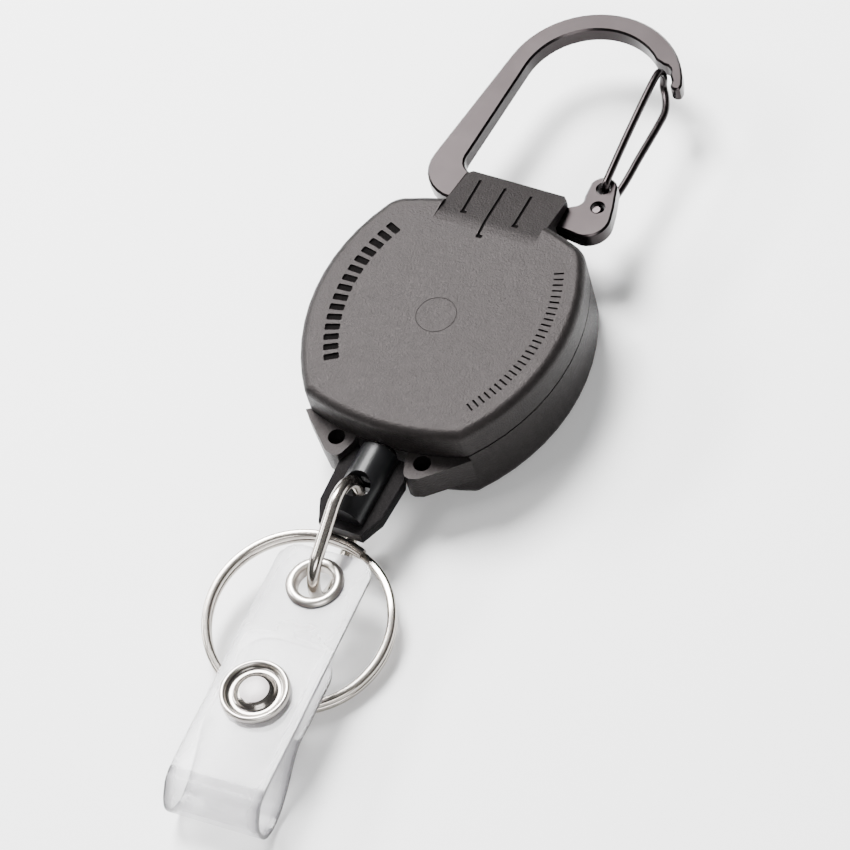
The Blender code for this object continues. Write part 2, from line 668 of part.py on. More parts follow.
def docking_head(finish, dock):
    """A barrel that seats on the cord's exit, on a flat keel that seats between the ears."""
    low = HEAD_AXIS_Z - BARREL_RADIUS
    half = [
        (HEAD_HALF_WIDTH - 0.0014, HEAD_TOP_Y), (HEAD_HALF_WIDTH, HEAD_TOP_Y - 0.0030),
        (HEAD_HALF_WIDTH - 0.0003, HEAD_END_Y + HEAD_CORNER), (HEAD_END_HALF_WIDTH, HEAD_END_Y),
    ]
    half = [(min(x, notch_half_width_at(y) - TOUCH_GAP), y) for x, y in half]
    keel = prism(half + mirrored(half), low, HEAD_AXIS_Z)
    round_edges_at(keel, low, HEAD_UNDER_RADIUS, 3)
    head = finish_mesh("docking_head", keel, finish)
    barrel = helper(
        "barrel", rod(BARREL_RADIUS, 0.0, BARREL_LENGTH, 40),
        location=(0, HEAD_TOP_Y, HEAD_AXIS_Z), rotation=(math.pi / 2, 0, 0),
    )
    combine(head, barrel, "UNION")
    combine(head, helper("link hole", rod(LINK_HOLE_RADIUS, 0.0, CASE_THICKNESS, 32),
                         (0, LINK_HOLE_Y, 0)), "DIFFERENCE")
    bore_end = LINK_HOLE_Y
    bores = (
        (CORD_RADIUS + TOUCH_GAP, HEAD_TOP_Y + CUT_OVERRUN),
        (KNOT_RADIUS + TOUCH_GAP, KNOT_Y + KNOT_LENGTH / 2 + TOUCH_GAP),
    )
    for radius, top in bores:
        bore = helper(
            f"bore {radius:.4f}", rod(radius, 0.0, top - bore_end, 20),
            location=(0, top, HEAD_AXIS_Z), rotation=(math.pi / 2, 0, 0),
        )
        combine(head, bore, "DIFFERENCE")
    head.parent = dock
    head.matrix_parent_inverse = Matrix.Translation(-dock.location)
    return head


def notch_half_width_at(y):
    """Half the width between the ears at one height of the notch."""
    start, end = CASE_BOTTOM - 0.0008, EAR_TIP_Y
    share = min(max((start - y) / (start - end), 0.0), 1.0)
    if y < EAR_TIP_Y:
        return HEAD_HALF_WIDTH + TOUCH_GAP
    return NOTCH_HALF_WIDTH + (NOTCH_MOUTH_HALF_WIDTH - NOTCH_HALF_WIDTH) * share


def cord_knot(finish, dock):
    """The crimped bead on the cord's end, inside the barrel."""
    half = KNOT_LENGTH / 2
    soft = KNOT_RADIUS * 0.35
    profile = [
        (0.0, -half), (KNOT_RADIUS - soft, -half), (KNOT_RADIUS, soft - half),
        (KNOT_RADIUS, half - soft), (KNOT_RADIUS - soft, half), (0.0, half),
    ]
    bead = finish_mesh("cord_knot", lathe(profile, 20), finish, parent=dock)
    bead.rotation_euler = (math.pi / 2, 0, 0)
    bead.location = Vector((0, KNOT_Y, HEAD_AXIS_Z)) - dock.location
    return bead


def oval_link(finish, hinge):
    slope = math.radians(LINK_SLOPE_DEGREES)
    along = Vector((0, -math.cos(slope), -math.sin(slope)))
    front = Vector((0, -math.sin(slope), math.cos(slope)))
    points = []
    for centre, start in ((Vector(), -90.0), (along * LINK_SPAN, 90.0)):
        for step in range(19):
            turn = math.radians(start + 180.0 * step / 18)
            spoke = front * math.sin(turn) - along * math.cos(turn)
            points.append(centre + spoke * LINK_HALF_WIDTH)
    return wire("oval_link", points, LINK_WIRE_RADIUS, finish, cyclic=True, resolution=4, parent=hinge)


# ---------------------------------------------------------------- split ring

def split_ring(finish, hinge):
    """Two flat turns of wire side by side, which change places over a short crossover."""
    middle = RING_OUTER_RADIUS - RING_BAND / 2
    level = (RING_TURN_HEIGHT + RING_TURN_GAP) / 2
    cross = math.radians(RING_CROSSOVER_DEGREES)
    start, end = cross, 4 * math.pi - cross
    count = 108
    half_band, half_height = RING_BAND / 2, RING_TURN_HEIGHT / 2
    soft = RING_TURN_HEIGHT * 0.25
    section = [
        (half_band, soft - half_height), (half_band, half_height - soft), (half_band - soft, half_height),
        (soft - half_band, half_height), (-half_band, half_height - soft), (-half_band, soft - half_height),
        (soft - half_band, -half_height), (half_band - soft, -half_height),
    ]
    made = bmesh.new()
    rings = []
    for i in range(count + 1):
        turn = start + (end - start) * i / count
        share = min(max((turn - 2 * math.pi + cross) / (2 * cross), 0.0), 1.0)
        height = level * (2 * share * share * (3 - 2 * share) - 1)
        rings.append([
            made.verts.new((
                (middle + out) * math.cos(turn), (middle + out) * math.sin(turn), height + up,
            )) for out, up in section
        ])
    for a, b in zip(rings, rings[1:]):
        for k in range(len(section)):
            nxt = (k + 1) % len(section)
            made.faces.new((a[k], a[nxt], b[nxt], b[k]))
    made.faces.new(rings[0])
    made.faces.new(rings[-1])
    ring = finish_mesh("split_ring", made, finish, parent=hinge)
    ring.location = RING_CENTRE - hinge.location
    ring.rotation_mode = "QUATERNION"
    ring.rotation_quaternion = Vector((0, 0, 1)).rotation_difference(RING_NORMAL)
    return ring


# ---------------------------------------------------------------- strap, grommet and snap

def front_layer_path():
    """(y, z) of the strap's front layer from its end to the fold's tip, about the grommet."""
    end = (STRAP_END_PAST_GROMMET, -STRAP_RISE * STRAP_END_PAST_GROMMET)
    start = (-FOLD_LENGTH, FOLD_TOP_Z)
    height = start[1] - FOLD_TIP[1]
    curve = smooth_path([
        (*start, 0), (start[0] - FOLD_DEPTH * 0.70, start[1] - height * 0.36, 0), (*FOLD_TIP, 0),
    ], 4)
    return [end] + [(p.x, p.y) for p in curve]


def flap_path():
    """(y, z) of the back layer from the fold's tip to the flap's end."""
    level = -FLAP_AT_SNAP_DROP
    lowest = -FOLD_DROP
    join = (-SNAP_DISTANCE - SNAP_SOCKET_RADIUS - 0.0006, level + STRAP_RISE * SNAP_SOCKET_RADIUS)
    tail = (-SNAP_DISTANCE + FLAP_END_PAST_SNAP, level - STRAP_RISE * FLAP_END_PAST_SNAP)
    rise = join[1] - lowest
    curve = smooth_path([
        (*FOLD_TIP, 0),
        (FOLD_TIP[0] + FOLD_DEPTH * 0.25, FOLD_TIP[1] * 0.2 + lowest * 0.8, 0),
        (-FOLD_LENGTH, lowest, 0),
        (-FOLD_LENGTH * 0.6 + join[0] * 0.4, lowest + rise * 0.28, 0),
        (*join, 0),
    ], 4)
    return [(p.x, p.y) for p in curve] + [tail]


def ribbon(name, path, finish, hinge, tail_corner, tail_first):
    """A flat strip of the strap's width that follows a (y, z) path, with a rounded free end."""
    half = STRAP_THICKNESS / 2
    sides = ([], [])
    for i, point in enumerate(path):
        before, after = Vector(path[max(i - 1, 0)]), Vector(path[min(i + 1, len(path) - 1)])
        normal = (after - before).normalized().orthogonal()
        for row, sign in zip(sides, (-1, 1)):
            row.append(Vector(point) + normal * half * sign)
    loop = sides[0] + sides[1][::-1]
    made = bmesh.new()
    face = made.faces.new([made.verts.new((-STRAP_HALF_WIDTH, p.x, p.y)) for p in loop])
    grown = bmesh.ops.extrude_face_region(made, geom=[face])["geom"]
    moved = [v for v in grown if isinstance(v, bmesh.types.BMVert)]
    bmesh.ops.translate(made, vec=(2 * STRAP_HALF_WIDTH, 0, 0), verts=moved)
    end = path[0] if tail_first else path[-1]
    corners = [
        e for e in made.edges
        if abs(e.verts[0].co.x - e.verts[1].co.x) < 1e-7
        and all((Vector((v.co.y, v.co.z)) - Vector(end)).length < half * 1.2 for v in e.verts)
    ]
    bmesh.ops.bevel(made, geom=corners, offset=tail_corner, segments=6, profile=0.5, affect="EDGES")
    return finish_mesh(name, made, finish, 50.0, parent=hinge)


def strap_hole(target, x, y, radius, hinge_offset):
    hole = helper(f"{target.name} hole", rod(radius, -0.006, 0.006, 28))
    hole.parent = target.parent
    hole.location = Vector((x, y, 0)) - hinge_offset
    combine(target, hole, "DIFFERENCE")


def on_layer(name, profile, finish, hinge, at, steps=32):
    """A turned metal piece that sits on the strap, square to its slope."""
    piece = finish_mesh(name, lathe(profile, steps), finish, parent=hinge)
    piece.location = at
    piece.rotation_euler = (-math.atan(STRAP_RISE), 0, 0)
    return piece


def grommet(finish, hinge):
    face = STRAP_THICKNESS / 2 + THIN_GAP
    tube = GROMMET_HOLE_RADIUS + GROMMET_SHEET
    crest = (GROMMET_FLANGE_RADIUS + GROMMET_HOLE_RADIUS) / 2
    front = [
        (GROMMET_HOLE_RADIUS, -face - GROMMET_SHEET), (tube, -face - GROMMET_SHEET), (tube, face),
        (GROMMET_FLANGE_RADIUS, face), (GROMMET_FLANGE_RADIUS, face + GROMMET_SHEET * 0.5),
        (crest, face + GROMMET_SHEET * 1.5), (tube, face + GROMMET_SHEET * 1.2),
        (GROMMET_HOLE_RADIUS, face + GROMMET_SHEET * 0.5),
    ]
    washer = [
        (tube + THIN_GAP, -face - GROMMET_SHEET), (GROMMET_FLANGE_RADIUS, -face - GROMMET_SHEET),
        (GROMMET_FLANGE_RADIUS, -face), (tube + THIN_GAP, -face),
    ]
    on_layer("grommet_front", front, finish, hinge, (0, 0, 0))
    on_layer("grommet_washer", washer, finish, hinge, (0, 0, 0))
    return tube + THIN_GAP


def snap_front(finish, hinge):
    """The snap's rimmed cap on the front layer and the socket riveted behind it."""
    face = STRAP_THICKNESS / 2 + THIN_GAP
    floor = face + SNAP_SHEET * 0.7
    top = face + SNAP_RIM_HEIGHT
    rivet = SNAP_STUD_RADIUS
    cap = [
        (0.0, -face - SNAP_SHEET), (rivet, -face - SNAP_SHEET), (rivet, face),
        (SNAP_RIM_RADIUS * 0.90, face), (SNAP_RIM_RADIUS, face + SNAP_RIM_HEIGHT * 0.4),
        (SNAP_RIM_RADIUS * 0.95, top), (SNAP_RIM_RADIUS * 0.84, top),
        (SNAP_RIM_RADIUS * 0.76, floor + 0.0002), (SNAP_RIM_RADIUS * 0.60, floor),
        (SNAP_RIM_RADIUS * 0.52, floor + SNAP_RIM_HEIGHT * 0.4), (SNAP_RIM_RADIUS * 0.40, top * 0.92),
        (0.0, top * 0.96),
    ]
    socket_low = -face - socket_height()
    bore = SNAP_STUD_RADIUS + TOUCH_GAP
    socket = [
        (rivet + THIN_GAP, -face - SNAP_SHEET), (bore, -face - SNAP_SHEET), (bore, socket_low),
        (SNAP_SOCKET_RADIUS, socket_low), (SNAP_SOCKET_RADIUS, -face), (rivet + THIN_GAP, -face),
    ]
    at = (SNAP_OFFSET, -SNAP_DISTANCE, STRAP_RISE * SNAP_DISTANCE)
    on_layer("snap_cap", cap, finish, hinge, at, 40)
    on_layer("snap_socket", socket, finish, hinge, at)
    return rivet + THIN_GAP


def socket_height():
    """What the gap between the two layers leaves for the socket above the stud's base."""
    between = STRAP_RISE * SNAP_DISTANCE + FLAP_AT_SNAP_DROP - STRAP_THICKNESS
    return between - 3 * THIN_GAP - SNAP_SHEET


def snap_back(finish, hinge, hinge_offset):
    """The stud on the flap and the rivet cap behind it."""
    face = STRAP_THICKNESS / 2 + THIN_GAP
    rivet = SNAP_STUD_RADIUS * 0.6
    stud_top = face + SNAP_SHEET + socket_height() - SNAP_SHEET - 2 * THIN_GAP
    neck = SNAP_STUD_RADIUS * 0.88
    stud = [
        (rivet + THIN_GAP, face), (SNAP_SOCKET_RADIUS, face), (SNAP_SOCKET_RADIUS, face + SNAP_SHEET),
        (neck, face + SNAP_SHEET), (SNAP_STUD_RADIUS, stud_top - SNAP_SHEET),
        (SNAP_STUD_RADIUS * 0.8, stud_top), (rivet + THIN_GAP, stud_top),
    ]
    back = [
        (0.0, -face - SNAP_SHEET), (SNAP_SOCKET_RADIUS * 0.92, -face - SNAP_SHEET),
        (SNAP_SOCKET_RADIUS, -face), (rivet, -face), (rivet, stud_top - THIN_GAP), (0.0, stud_top - THIN_GAP),
    ]
    at = Vector((SNAP_OFFSET, -SNAP_DISTANCE, -FLAP_AT_SNAP_DROP)) - hinge_offset
    on_layer("snap_stud", stud, finish, hinge, at)
    on_layer("snap_back_cap", back, finish, hinge, at)
    return rivet + THIN_GAP


def badge_strap(vinyl, nickel, strap_hinge, flap_hinge):
    tip = Vector((0, *FOLD_TIP))
    front_path = front_layer_path()
    back_path = flap_path()
    front_path[-1] = (tip.y, tip.z + TOUCH_GAP)
    back_path[0] = (tip.y, tip.z - TOUCH_GAP)
    front = ribbon("strap_front", front_path, vinyl, strap_hinge, STRAP_CORNER_RADIUS, True)
    moved = [(y - tip.y, z - tip.z) for y, z in back_path]
    flap = ribbon("strap_flap", moved, vinyl, flap_hinge, STRAP_CORNER_RADIUS * 1.6, False)
    strap_hole(front, 0.0, 0.0, grommet(nickel, strap_hinge), Vector())
    snap_bore = snap_front(nickel, strap_hinge)
    strap_hole(front, SNAP_OFFSET, -SNAP_DISTANCE, snap_bore, Vector())
    stud_bore = snap_back(nickel, flap_hinge, tip)
    strap_hole(flap, SNAP_OFFSET, -SNAP_DISTANCE, stud_bore, Vector((0, tip.y, 0)))


# ---------------------------------------------------------------- assembly

def main():
    clear_scene()
    case_plastic = material("case_plastic", (0.075, 0.070, 0.068), 0.55)
    black_plastic = material("black_plastic", (0.012, 0.012, 0.014), 0.25)
    spool_plastic = material("spool_plastic", (0.62, 0.61, 0.58), 0.45)
    gunmetal = material("gunmetal", (0.26, 0.23, 0.235), 0.38, 1.0)
    nickel = material("nickel", (0.78, 0.75, 0.71), 0.16, 1.0)
    steel = material("steel", (0.55, 0.55, 0.56), 0.30, 1.0)
    cord_fibre = material("cord_fibre", (0.02, 0.02, 0.022), 0.75)
    vinyl = material("vinyl", (0.92, 0.93, 0.94), 0.12, 0.0, 0.9)

    rear_cover(case_plastic)
    front_cover(case_plastic)
    carabiner_plate(gunmetal)
    gate_hinge = pivot("gate_hinge", (GATE_AXIS_X, GATE_AXIS_Y, PARTING_Z))
    gate_wire(gunmetal, gate_hinge)

    axle = pivot("spool_axle", (0, 0, 0))
    arbor_post(steel)
    power_spring(steel)
    spool(spool_plastic, axle)
    spring_cover(spool_plastic, axle)
    spool_washer(nickel)
    wound_cord(cord_fibre, axle)
    cord_bushing(nickel)
    cord_lead(cord_fibre)

    yaw = math.radians(TAIL_YAW_DEGREES)
    dock = pivot("head_dock", (0, HEAD_TOP_Y, HEAD_AXIS_Z))
    docking_head(black_plastic, dock)
    cord_knot(nickel, dock)
    link_hinge = pivot("link_hinge", LINK_PIVOT, (0, 0, yaw))
    oval_link(nickel, link_hinge)
    reach = RING_OUTER_RADIUS - RING_BAND / 2
    ring_hinge = pivot("ring_hinge", RING_CENTRE + Vector((0, 1, -RING_NORMAL.y)) * reach)
    split_ring(nickel, ring_hinge)

    strap_hinge = pivot("strap_hinge", STRAP_PIVOT, (0, 0, yaw))
    flap_hinge = pivot("flap_hinge", (0, *FOLD_TIP))
    flap_hinge.parent = strap_hinge
    badge_strap(vinyl, nickel, strap_hinge, flap_hinge)


main()
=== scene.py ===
"""A retractable badge reel lying on its back, finished over its packed assembly, in metres."""

import json
import math

import bpy
from mathutils import Matrix, Vector

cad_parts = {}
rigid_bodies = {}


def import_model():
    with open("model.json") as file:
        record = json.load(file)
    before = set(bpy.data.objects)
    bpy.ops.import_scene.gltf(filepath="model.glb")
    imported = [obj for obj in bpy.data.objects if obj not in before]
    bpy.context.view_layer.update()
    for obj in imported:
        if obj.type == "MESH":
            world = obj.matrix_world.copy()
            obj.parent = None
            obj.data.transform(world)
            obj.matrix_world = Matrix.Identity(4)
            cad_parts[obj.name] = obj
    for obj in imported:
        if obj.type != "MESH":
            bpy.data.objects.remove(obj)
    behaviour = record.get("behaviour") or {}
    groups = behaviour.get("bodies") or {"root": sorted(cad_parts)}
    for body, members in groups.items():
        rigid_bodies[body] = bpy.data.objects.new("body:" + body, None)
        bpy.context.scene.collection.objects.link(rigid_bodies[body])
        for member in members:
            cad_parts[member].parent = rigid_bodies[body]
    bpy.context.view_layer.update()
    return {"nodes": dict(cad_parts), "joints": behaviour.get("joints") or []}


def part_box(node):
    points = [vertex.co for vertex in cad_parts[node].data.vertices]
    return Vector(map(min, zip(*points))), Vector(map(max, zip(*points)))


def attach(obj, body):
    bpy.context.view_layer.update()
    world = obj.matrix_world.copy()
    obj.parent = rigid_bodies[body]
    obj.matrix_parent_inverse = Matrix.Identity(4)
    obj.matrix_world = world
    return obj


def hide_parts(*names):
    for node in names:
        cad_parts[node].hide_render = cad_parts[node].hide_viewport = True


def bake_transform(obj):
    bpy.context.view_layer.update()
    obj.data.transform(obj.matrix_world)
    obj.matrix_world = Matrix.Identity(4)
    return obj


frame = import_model()
joints = {joint["name"]: joint for joint in frame["joints"]}
nodes = frame["nodes"]

# Front cover
FACE_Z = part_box("front_cover")[1].z
RAMP_START_Y = 0.01675
RAMP_ANGLE = math.atan(0.2512)
RAMP_BLEND = 0.0014
SIDE_CURVE_X = 0.011    # the long sides' plan arcs are struck from here, one on each side
SIDE_CURVE_Y = 0.0018
SLOT_ARC_RADIUS = 0.0262
TICK_ARC_RADIUS = 0.0272
MARK_DEPTH = 0.00030
GROOVE_WIDTH = 0.00042
GROOVES = (             # x and y of each groove's top and foot
    (-0.0056, 0.0256, -0.0048, 0.0184),
    (-0.0013, 0.0254, -0.0004, 0.0148),
    (0.0031, 0.0252, 0.0037, 0.0184),
)

# Ears of the rear cover
EAR_HOLE_X = 0.0070
EAR_HOLE_Y = -0.0211
EAR_BORE_REACH = 0.00145    # faces nearer than this to a hole's axis belong to its bore

# Gate
GATE_WIRE_RADIUS = 0.0006
GATE_TOP = Vector((0.0111, 0.0539))

# Tail: head, link, ring and strap
HEAD_AXIS_Z = 0.0086
CASE_END_Y = -0.0203
BARREL_RADIUS = 0.0030
KEEL_TOP_Z = HEAD_AXIS_Z + 0.0022    # level faces below this height are the keel's
CORD_RADIUS = 0.00055
LINK_WIRE_RADIUS = 0.00095
LINK_HALF_WIDTH = 0.0051
LINK_SPAN = 0.0070
LINK_SLOPE = math.radians(20.0)
RING_OUTER_RADIUS = 0.0140
RING_BAND = 0.0013
RING_TURN_HEIGHT = 0.00115
RING_TURN_GAP = 0.00015
RING_TILT = Vector((0.12, -0.10, 1.0))
STRAP_HALF_WIDTH = 0.0073
STRAP_THICKNESS = 0.0006
STRAP_RISE = 0.035
SNAP_DISTANCE = 0.0194
SNAP_OFFSET = -0.0005
SNAP_PLACE = (SNAP_OFFSET, -SNAP_DISTANCE, STRAP_RISE * SNAP_DISTANCE)

TAIL_AXIS = joints["strap_swing"]["axis"]
TAIL_TURN = Matrix.Rotation(math.atan2(TAIL_AXIS[1], TAIL_AXIS[0]), 4, "Z")
STRAP_PLACE = Matrix.Translation(joints["strap_swing"]["pos_m"]) @ TAIL_TURN
LINK_PLACE = Matrix.Translation(joints["link_swing"]["pos_m"]) @ TAIL_TURN


# ---------------------------------------------------------------- working helpers

def only(*pieces):
    """Selects these pieces alone and makes the first one active."""
    for other in bpy.context.view_layer.objects:
        other.select_set(False)
    for piece in pieces:
        piece.select_set(True)
    bpy.context.view_layer.objects.active = pieces[0]


def edit(piece):
    """Opens a piece for editing with all of it selected."""
    only(piece)
    bpy.ops.object.mode_set(mode="EDIT")
    bpy.ops.mesh.select_mode(type="VERT")
    bpy.ops.mesh.select_all(action="SELECT")


def done():
    bpy.ops.object.mode_set(mode="OBJECT")


def new_piece(name):
    """Names the object that was made last."""
    piece = bpy.context.object
    piece.name = name
    piece.data.name = name
    return piece


def apply_modifier(piece, kind, **settings):
    only(piece)
    modifier = piece.modifiers.new(kind.title(), kind)
    for key, value in settings.items():
        setattr(modifier, key, value)
    bpy.ops.object.modifier_apply(modifier=modifier.name)


def place(piece, matrix):
    """Puts a piece that was made about the origin in its place, with the place in its mesh."""
    piece.data.transform(matrix)
    piece.data.update()


def tidy(piece, smooth_degrees=35.0, weighted=True):
    """Merges doubled points, turns the faces outwards and smooths the shading below an angle."""
    edit(piece)
    bpy.ops.mesh.remove_doubles(threshold=1e-6)
    bpy.ops.mesh.normals_make_consistent(inside=False)
    done()
    bpy.ops.object.shade_smooth_by_angle(angle=math.radians(smooth_degrees), keep_sharp_edges=False)
    if weighted:
        apply_modifier(piece, "WEIGHTED_NORMAL", keep_sharp=True, weight=50)


def finish(piece, body, slot, *materials, stands_for=()):
    """Gives a piece its materials and body, and hides the CAD nodes that it stands for; slot is not
    used. Its faces take the first material.
    """
    piece.data.materials.clear()
    for material in materials:
        piece.data.materials.append(material)
    if stands_for:
        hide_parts(*stands_for)
    if body:
        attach(piece, body)


def face_materials(piece, chosen):
    """Sets which of its materials each face takes, from one number or truth value for each."""
    for face, which in zip(piece.data.polygons, chosen):
        face.material_index = int(which)


def reworked(node, name):
    """A copy of a CAD piece with its loose triangles merged into clean faces."""
    piece = bpy.data.objects.new(name, nodes[node].data.copy())
    bpy.context.scene.collection.objects.link(piece)
    piece.data.materials.clear()
    edit(piece)
    bpy.ops.mesh.customdata_custom_splitnormals_clear()
    bpy.ops.mesh.remove_doubles(threshold=2e-6)
    bpy.ops.mesh.dissolve_limited(angle_limit=math.radians(0.6))
    done()
    return piece


def soften(piece, width, steps=2, from_degrees=32.0):
    apply_modifier(
        piece, "BEVEL", width=width, segments=steps, limit_method="ANGLE",
        angle_limit=math.radians(from_degrees), harden_normals=False,
    )


def turned(name, profile, steps=72):
    """A piece built up ring by ring from (radius, height) points. Its ends may lie on the axis."""
    closed = profile[0] != profile[-1] and profile[0][0] > 0 and profile[-1][0] > 0
    points = profile + [profile[0]] if closed else profile
    tiny = 1e-6
    radius, height = max(points[0][0], tiny), points[0][1]
    bpy.ops.mesh.primitive_circle_add(vertices=steps, radius=radius, location=(0, 0, 0))
    piece = new_piece(name)
    edit(piece)
    bpy.ops.transform.translate(value=(0, 0, height))
    for next_radius, next_height in points[1:]:
        next_radius = max(next_radius, tiny)
        bpy.ops.mesh.extrude_edges_move()
        grow = next_radius / radius
        bpy.ops.transform.resize(value=(grow, grow, 1), center_override=(0, 0, 0))
        bpy.ops.transform.translate(value=(0, 0, next_height - height))
        radius, height = next_radius, next_height
    bpy.ops.mesh.select_all(action="SELECT")
    bpy.ops.mesh.remove_doubles(threshold=3e-6)
    done()
    return piece


def block(size, at=(0, 0, 0), pitch=0.0, yaw=0.0, edge=0.0):
    """A small solid bar used as a cutter, with its edges rounded where that is asked for."""
    bpy.ops.mesh.primitive_cube_add(size=1, location=(0, 0, 0), scale=size)
    piece = new_piece("cutter")
    bpy.ops.object.transform_apply(location=False, rotation=False, scale=True)
    if edge:
        apply_modifier(piece, "BEVEL", width=edge, segments=2, limit_method="NONE")
    turn = Matrix.Rotation(yaw, 4, "Z") @ Matrix.Rotation(pitch, 4, "X")
    place(piece, Matrix.Translation(at) @ turn)
    return piece


def witness_ring(radius, wire, steps, height):
    """A thin torus about the Z axis, used as a cutter."""
    bpy.ops.mesh.primitive_torus_add(
        major_segments=steps, minor_segments=8, major_radius=radius, minor_radius=wire,
        location=(0, 0, height),
    )
    return new_piece("witness ring cutter")


def cut(piece, cutters, material=None):
    """Cuts all the cutters out of a piece. The cut faces take the material, if one is given."""
    only(*cutters)
    bpy.ops.object.join()
    tool = bpy.context.object
    tool.data.materials.clear()
    if material:
        tool.data.materials.append(material)
    apply_modifier(
        piece, "BOOLEAN", operation="DIFFERENCE", solver="EXACT", object=tool, use_self=True,
        material_mode="TRANSFER" if material else "INDEX",
    )
    bpy.data.objects.remove(tool)


def smooth_route(points, steps):
    """Points on a smooth curve that passes through all the given ones."""
    knots = [Vector(p) for p in points]
    knots = [2 * knots[0] - knots[1]] + knots + [2 * knots[-1] - knots[-2]]
    route = []
    for a, b, c, d in zip(knots, knots[1:], knots[2:], knots[3:]):
        for step in range(steps):
            t = step / steps
            bend = (2 * a - 5 * b + 4 * c - d) * t ** 2 + (3 * b - a - 3 * c + d) * t ** 3
            route.append(0.5 * (2 * b + (c - a) * t + bend))
    return route + [knots[-2]]


def drawn_wire(name, route, radius, sides=5):
    """A round wire drawn along a route, with flat closed ends."""
    curve = bpy.data.curves.new(name, "CURVE")
    curve.dimensions = "3D"
    curve.bevel_depth = radius
    curve.bevel_resolution = sides
    curve.use_fill_caps = True
    spline = curve.splines.new("POLY")
    spline.points.add(len(route) - 1)
    for knot, point in zip(spline.points, route):
        knot.co = (*point, 1.0)
    piece = bpy.data.objects.new(name, curve)
    bpy.context.scene.collection.objects.link(piece)
    only(piece)
    bpy.ops.object.convert(target="MESH")
    return new_piece(name)


# ---------------------------------------------------------------- shared surface effects

def add_node(tree, kind, x, y, **settings):
    node = tree.nodes.new(kind)
    node.location = (x, y)
    for key, value in settings.items():
        if key in node.inputs:
            node.inputs[key].default_value = value
        else:
            setattr(node, key, value)
    return node


def noise(tree, x, y, detail, roughness):
    return add_node(
        tree, "ShaderNodeTexNoise", x, y, Scale=1.0, Detail=detail, Roughness=roughness
    )


def mask_ramp(tree, x, y, low, high):
    """Spreads the values between low and high over 0 to 1."""
    ramp = add_node(tree, "ShaderNodeMapRange", x, y)
    ramp.inputs["From Min"].default_value = low
    ramp.inputs["From Max"].default_value = high
    return ramp


def effect(name, inputs, outputs):
    """A node group with a Position input, named number inputs and outputs, and its end nodes."""
    group = bpy.data.node_groups.new(name, "ShaderNodeTree")
    group.interface.new_socket("Position", in_out="INPUT", socket_type="NodeSocketVector")
    for label, value in inputs.items():
        socket = group.interface.new_socket(label, in_out="INPUT", socket_type="NodeSocketFloat")
        socket.default_value = value
    for label in outputs:
        group.interface.new_socket(label, in_out="OUTPUT", socket_type="NodeSocketFloat")
    start = group.nodes.new("NodeGroupInput")
    end = group.nodes.new("NodeGroupOutput")
    start.location, end.location = (-800, 0), (600, 0)
    return group, start, end


def grain_effect():
    """Fine pitted grain with slow mottling, as on spark-eroded plastic and blasted metal."""
    group, start, end = effect(
        "fine grain", {"Grain size": 0.0002, "Mottle size": 0.003}, ["Height", "Mottle", "Speck"]
    )
    fine = noise(group, -300, 250, 3.0, 0.6)
    mottle = noise(group, -300, 0, 2.0, 0.5)
    speck = add_node(group, "ShaderNodeTexVoronoi", -300, -250)
    for label, texture, y in (
        ("Grain size", fine, 250), ("Mottle size", mottle, 0), ("Grain size", speck, -250),
    ):
        scale = add_node(group, "ShaderNodeMath", -550, y, operation="DIVIDE")
        scale.inputs[0].default_value = 1.0
        group.links.new(start.outputs[label], scale.inputs[1])
        group.links.new(scale.outputs[0], texture.inputs["Scale"])
        group.links.new(start.outputs["Position"], texture.inputs["Vector"])
    ramp = mask_ramp(group, 100, -250, 0.10, 0.35)
    group.links.new(speck.outputs["Distance"], ramp.inputs["Value"])
    group.links.new(fine.outputs[0], end.inputs["Height"])
    group.links.new(mottle.outputs[0], end.inputs["Mottle"])
    group.links.new(ramp.outputs[0], end.inputs["Speck"])
    return group


def scuff_effect():
    """Hairline handling scuffs that run mostly one way."""
    group, start, end = effect("handling scuffs", {"Length": 0.004, "Width": 0.00008}, ["Scuff"])
    split = add_node(group, "ShaderNodeSeparateXYZ", -600, 0)
    group.links.new(start.outputs["Position"], split.inputs[0])
    joined = add_node(group, "ShaderNodeCombineXYZ", -150, 0)
    for axis, label, y in ((0, "Length", 150), (1, "Width", 0), (2, "Width", -150)):
        part = add_node(group, "ShaderNodeMath", -380, y, operation="DIVIDE")
        group.links.new(split.outputs[axis], part.inputs[0])
        group.links.new(start.outputs[label], part.inputs[1])
        group.links.new(part.outputs[0], joined.inputs[axis])
    lines = noise(group, 50, 0, 2.0, 0.7)
    group.links.new(joined.outputs[0], lines.inputs["Vector"])
    ramp = mask_ramp(group, 300, 0, 0.62, 0.74)
    group.links.new(lines.outputs[0], ramp.inputs["Value"])
    group.links.new(ramp.outputs[0], end.inputs["Scuff"])
    return group


GRAIN = grain_effect()
SCUFFS = scuff_effect()


def material(name, colour, roughness, **sockets):
    """A new material, with its node tree and its shader."""
    made = bpy.data.materials.new(name)
    made.use_nodes = True
    shader = made.node_tree.nodes["Principled BSDF"]
    shader.inputs["Base Color"].default_value = (*colour, 1.0)
    shader.inputs["Roughness"].default_value = roughness
    for label, value in sockets.items():
        shader.inputs[label.replace("_", " ")].default_value = value
    return made, made.node_tree, shader


def object_position(tree):
    """The socket that gives the place on the piece, from one node that all of a material shares."""
    node = tree.nodes.get("Position")
    if node is None:
        node = add_node(tree, "ShaderNodeTexCoord", -1100, 0, name="Position")
    return node.outputs["Object"]


def use_effect(tree, group, x, y, **values):
    node = add_node(tree, "ShaderNodeGroup", x, y, node_tree=group)
    for label, value in values.items():
        node.inputs[label.replace("_", " ")].default_value = value
    tree.links.new(object_position(tree), node.inputs["Position"])
    return node


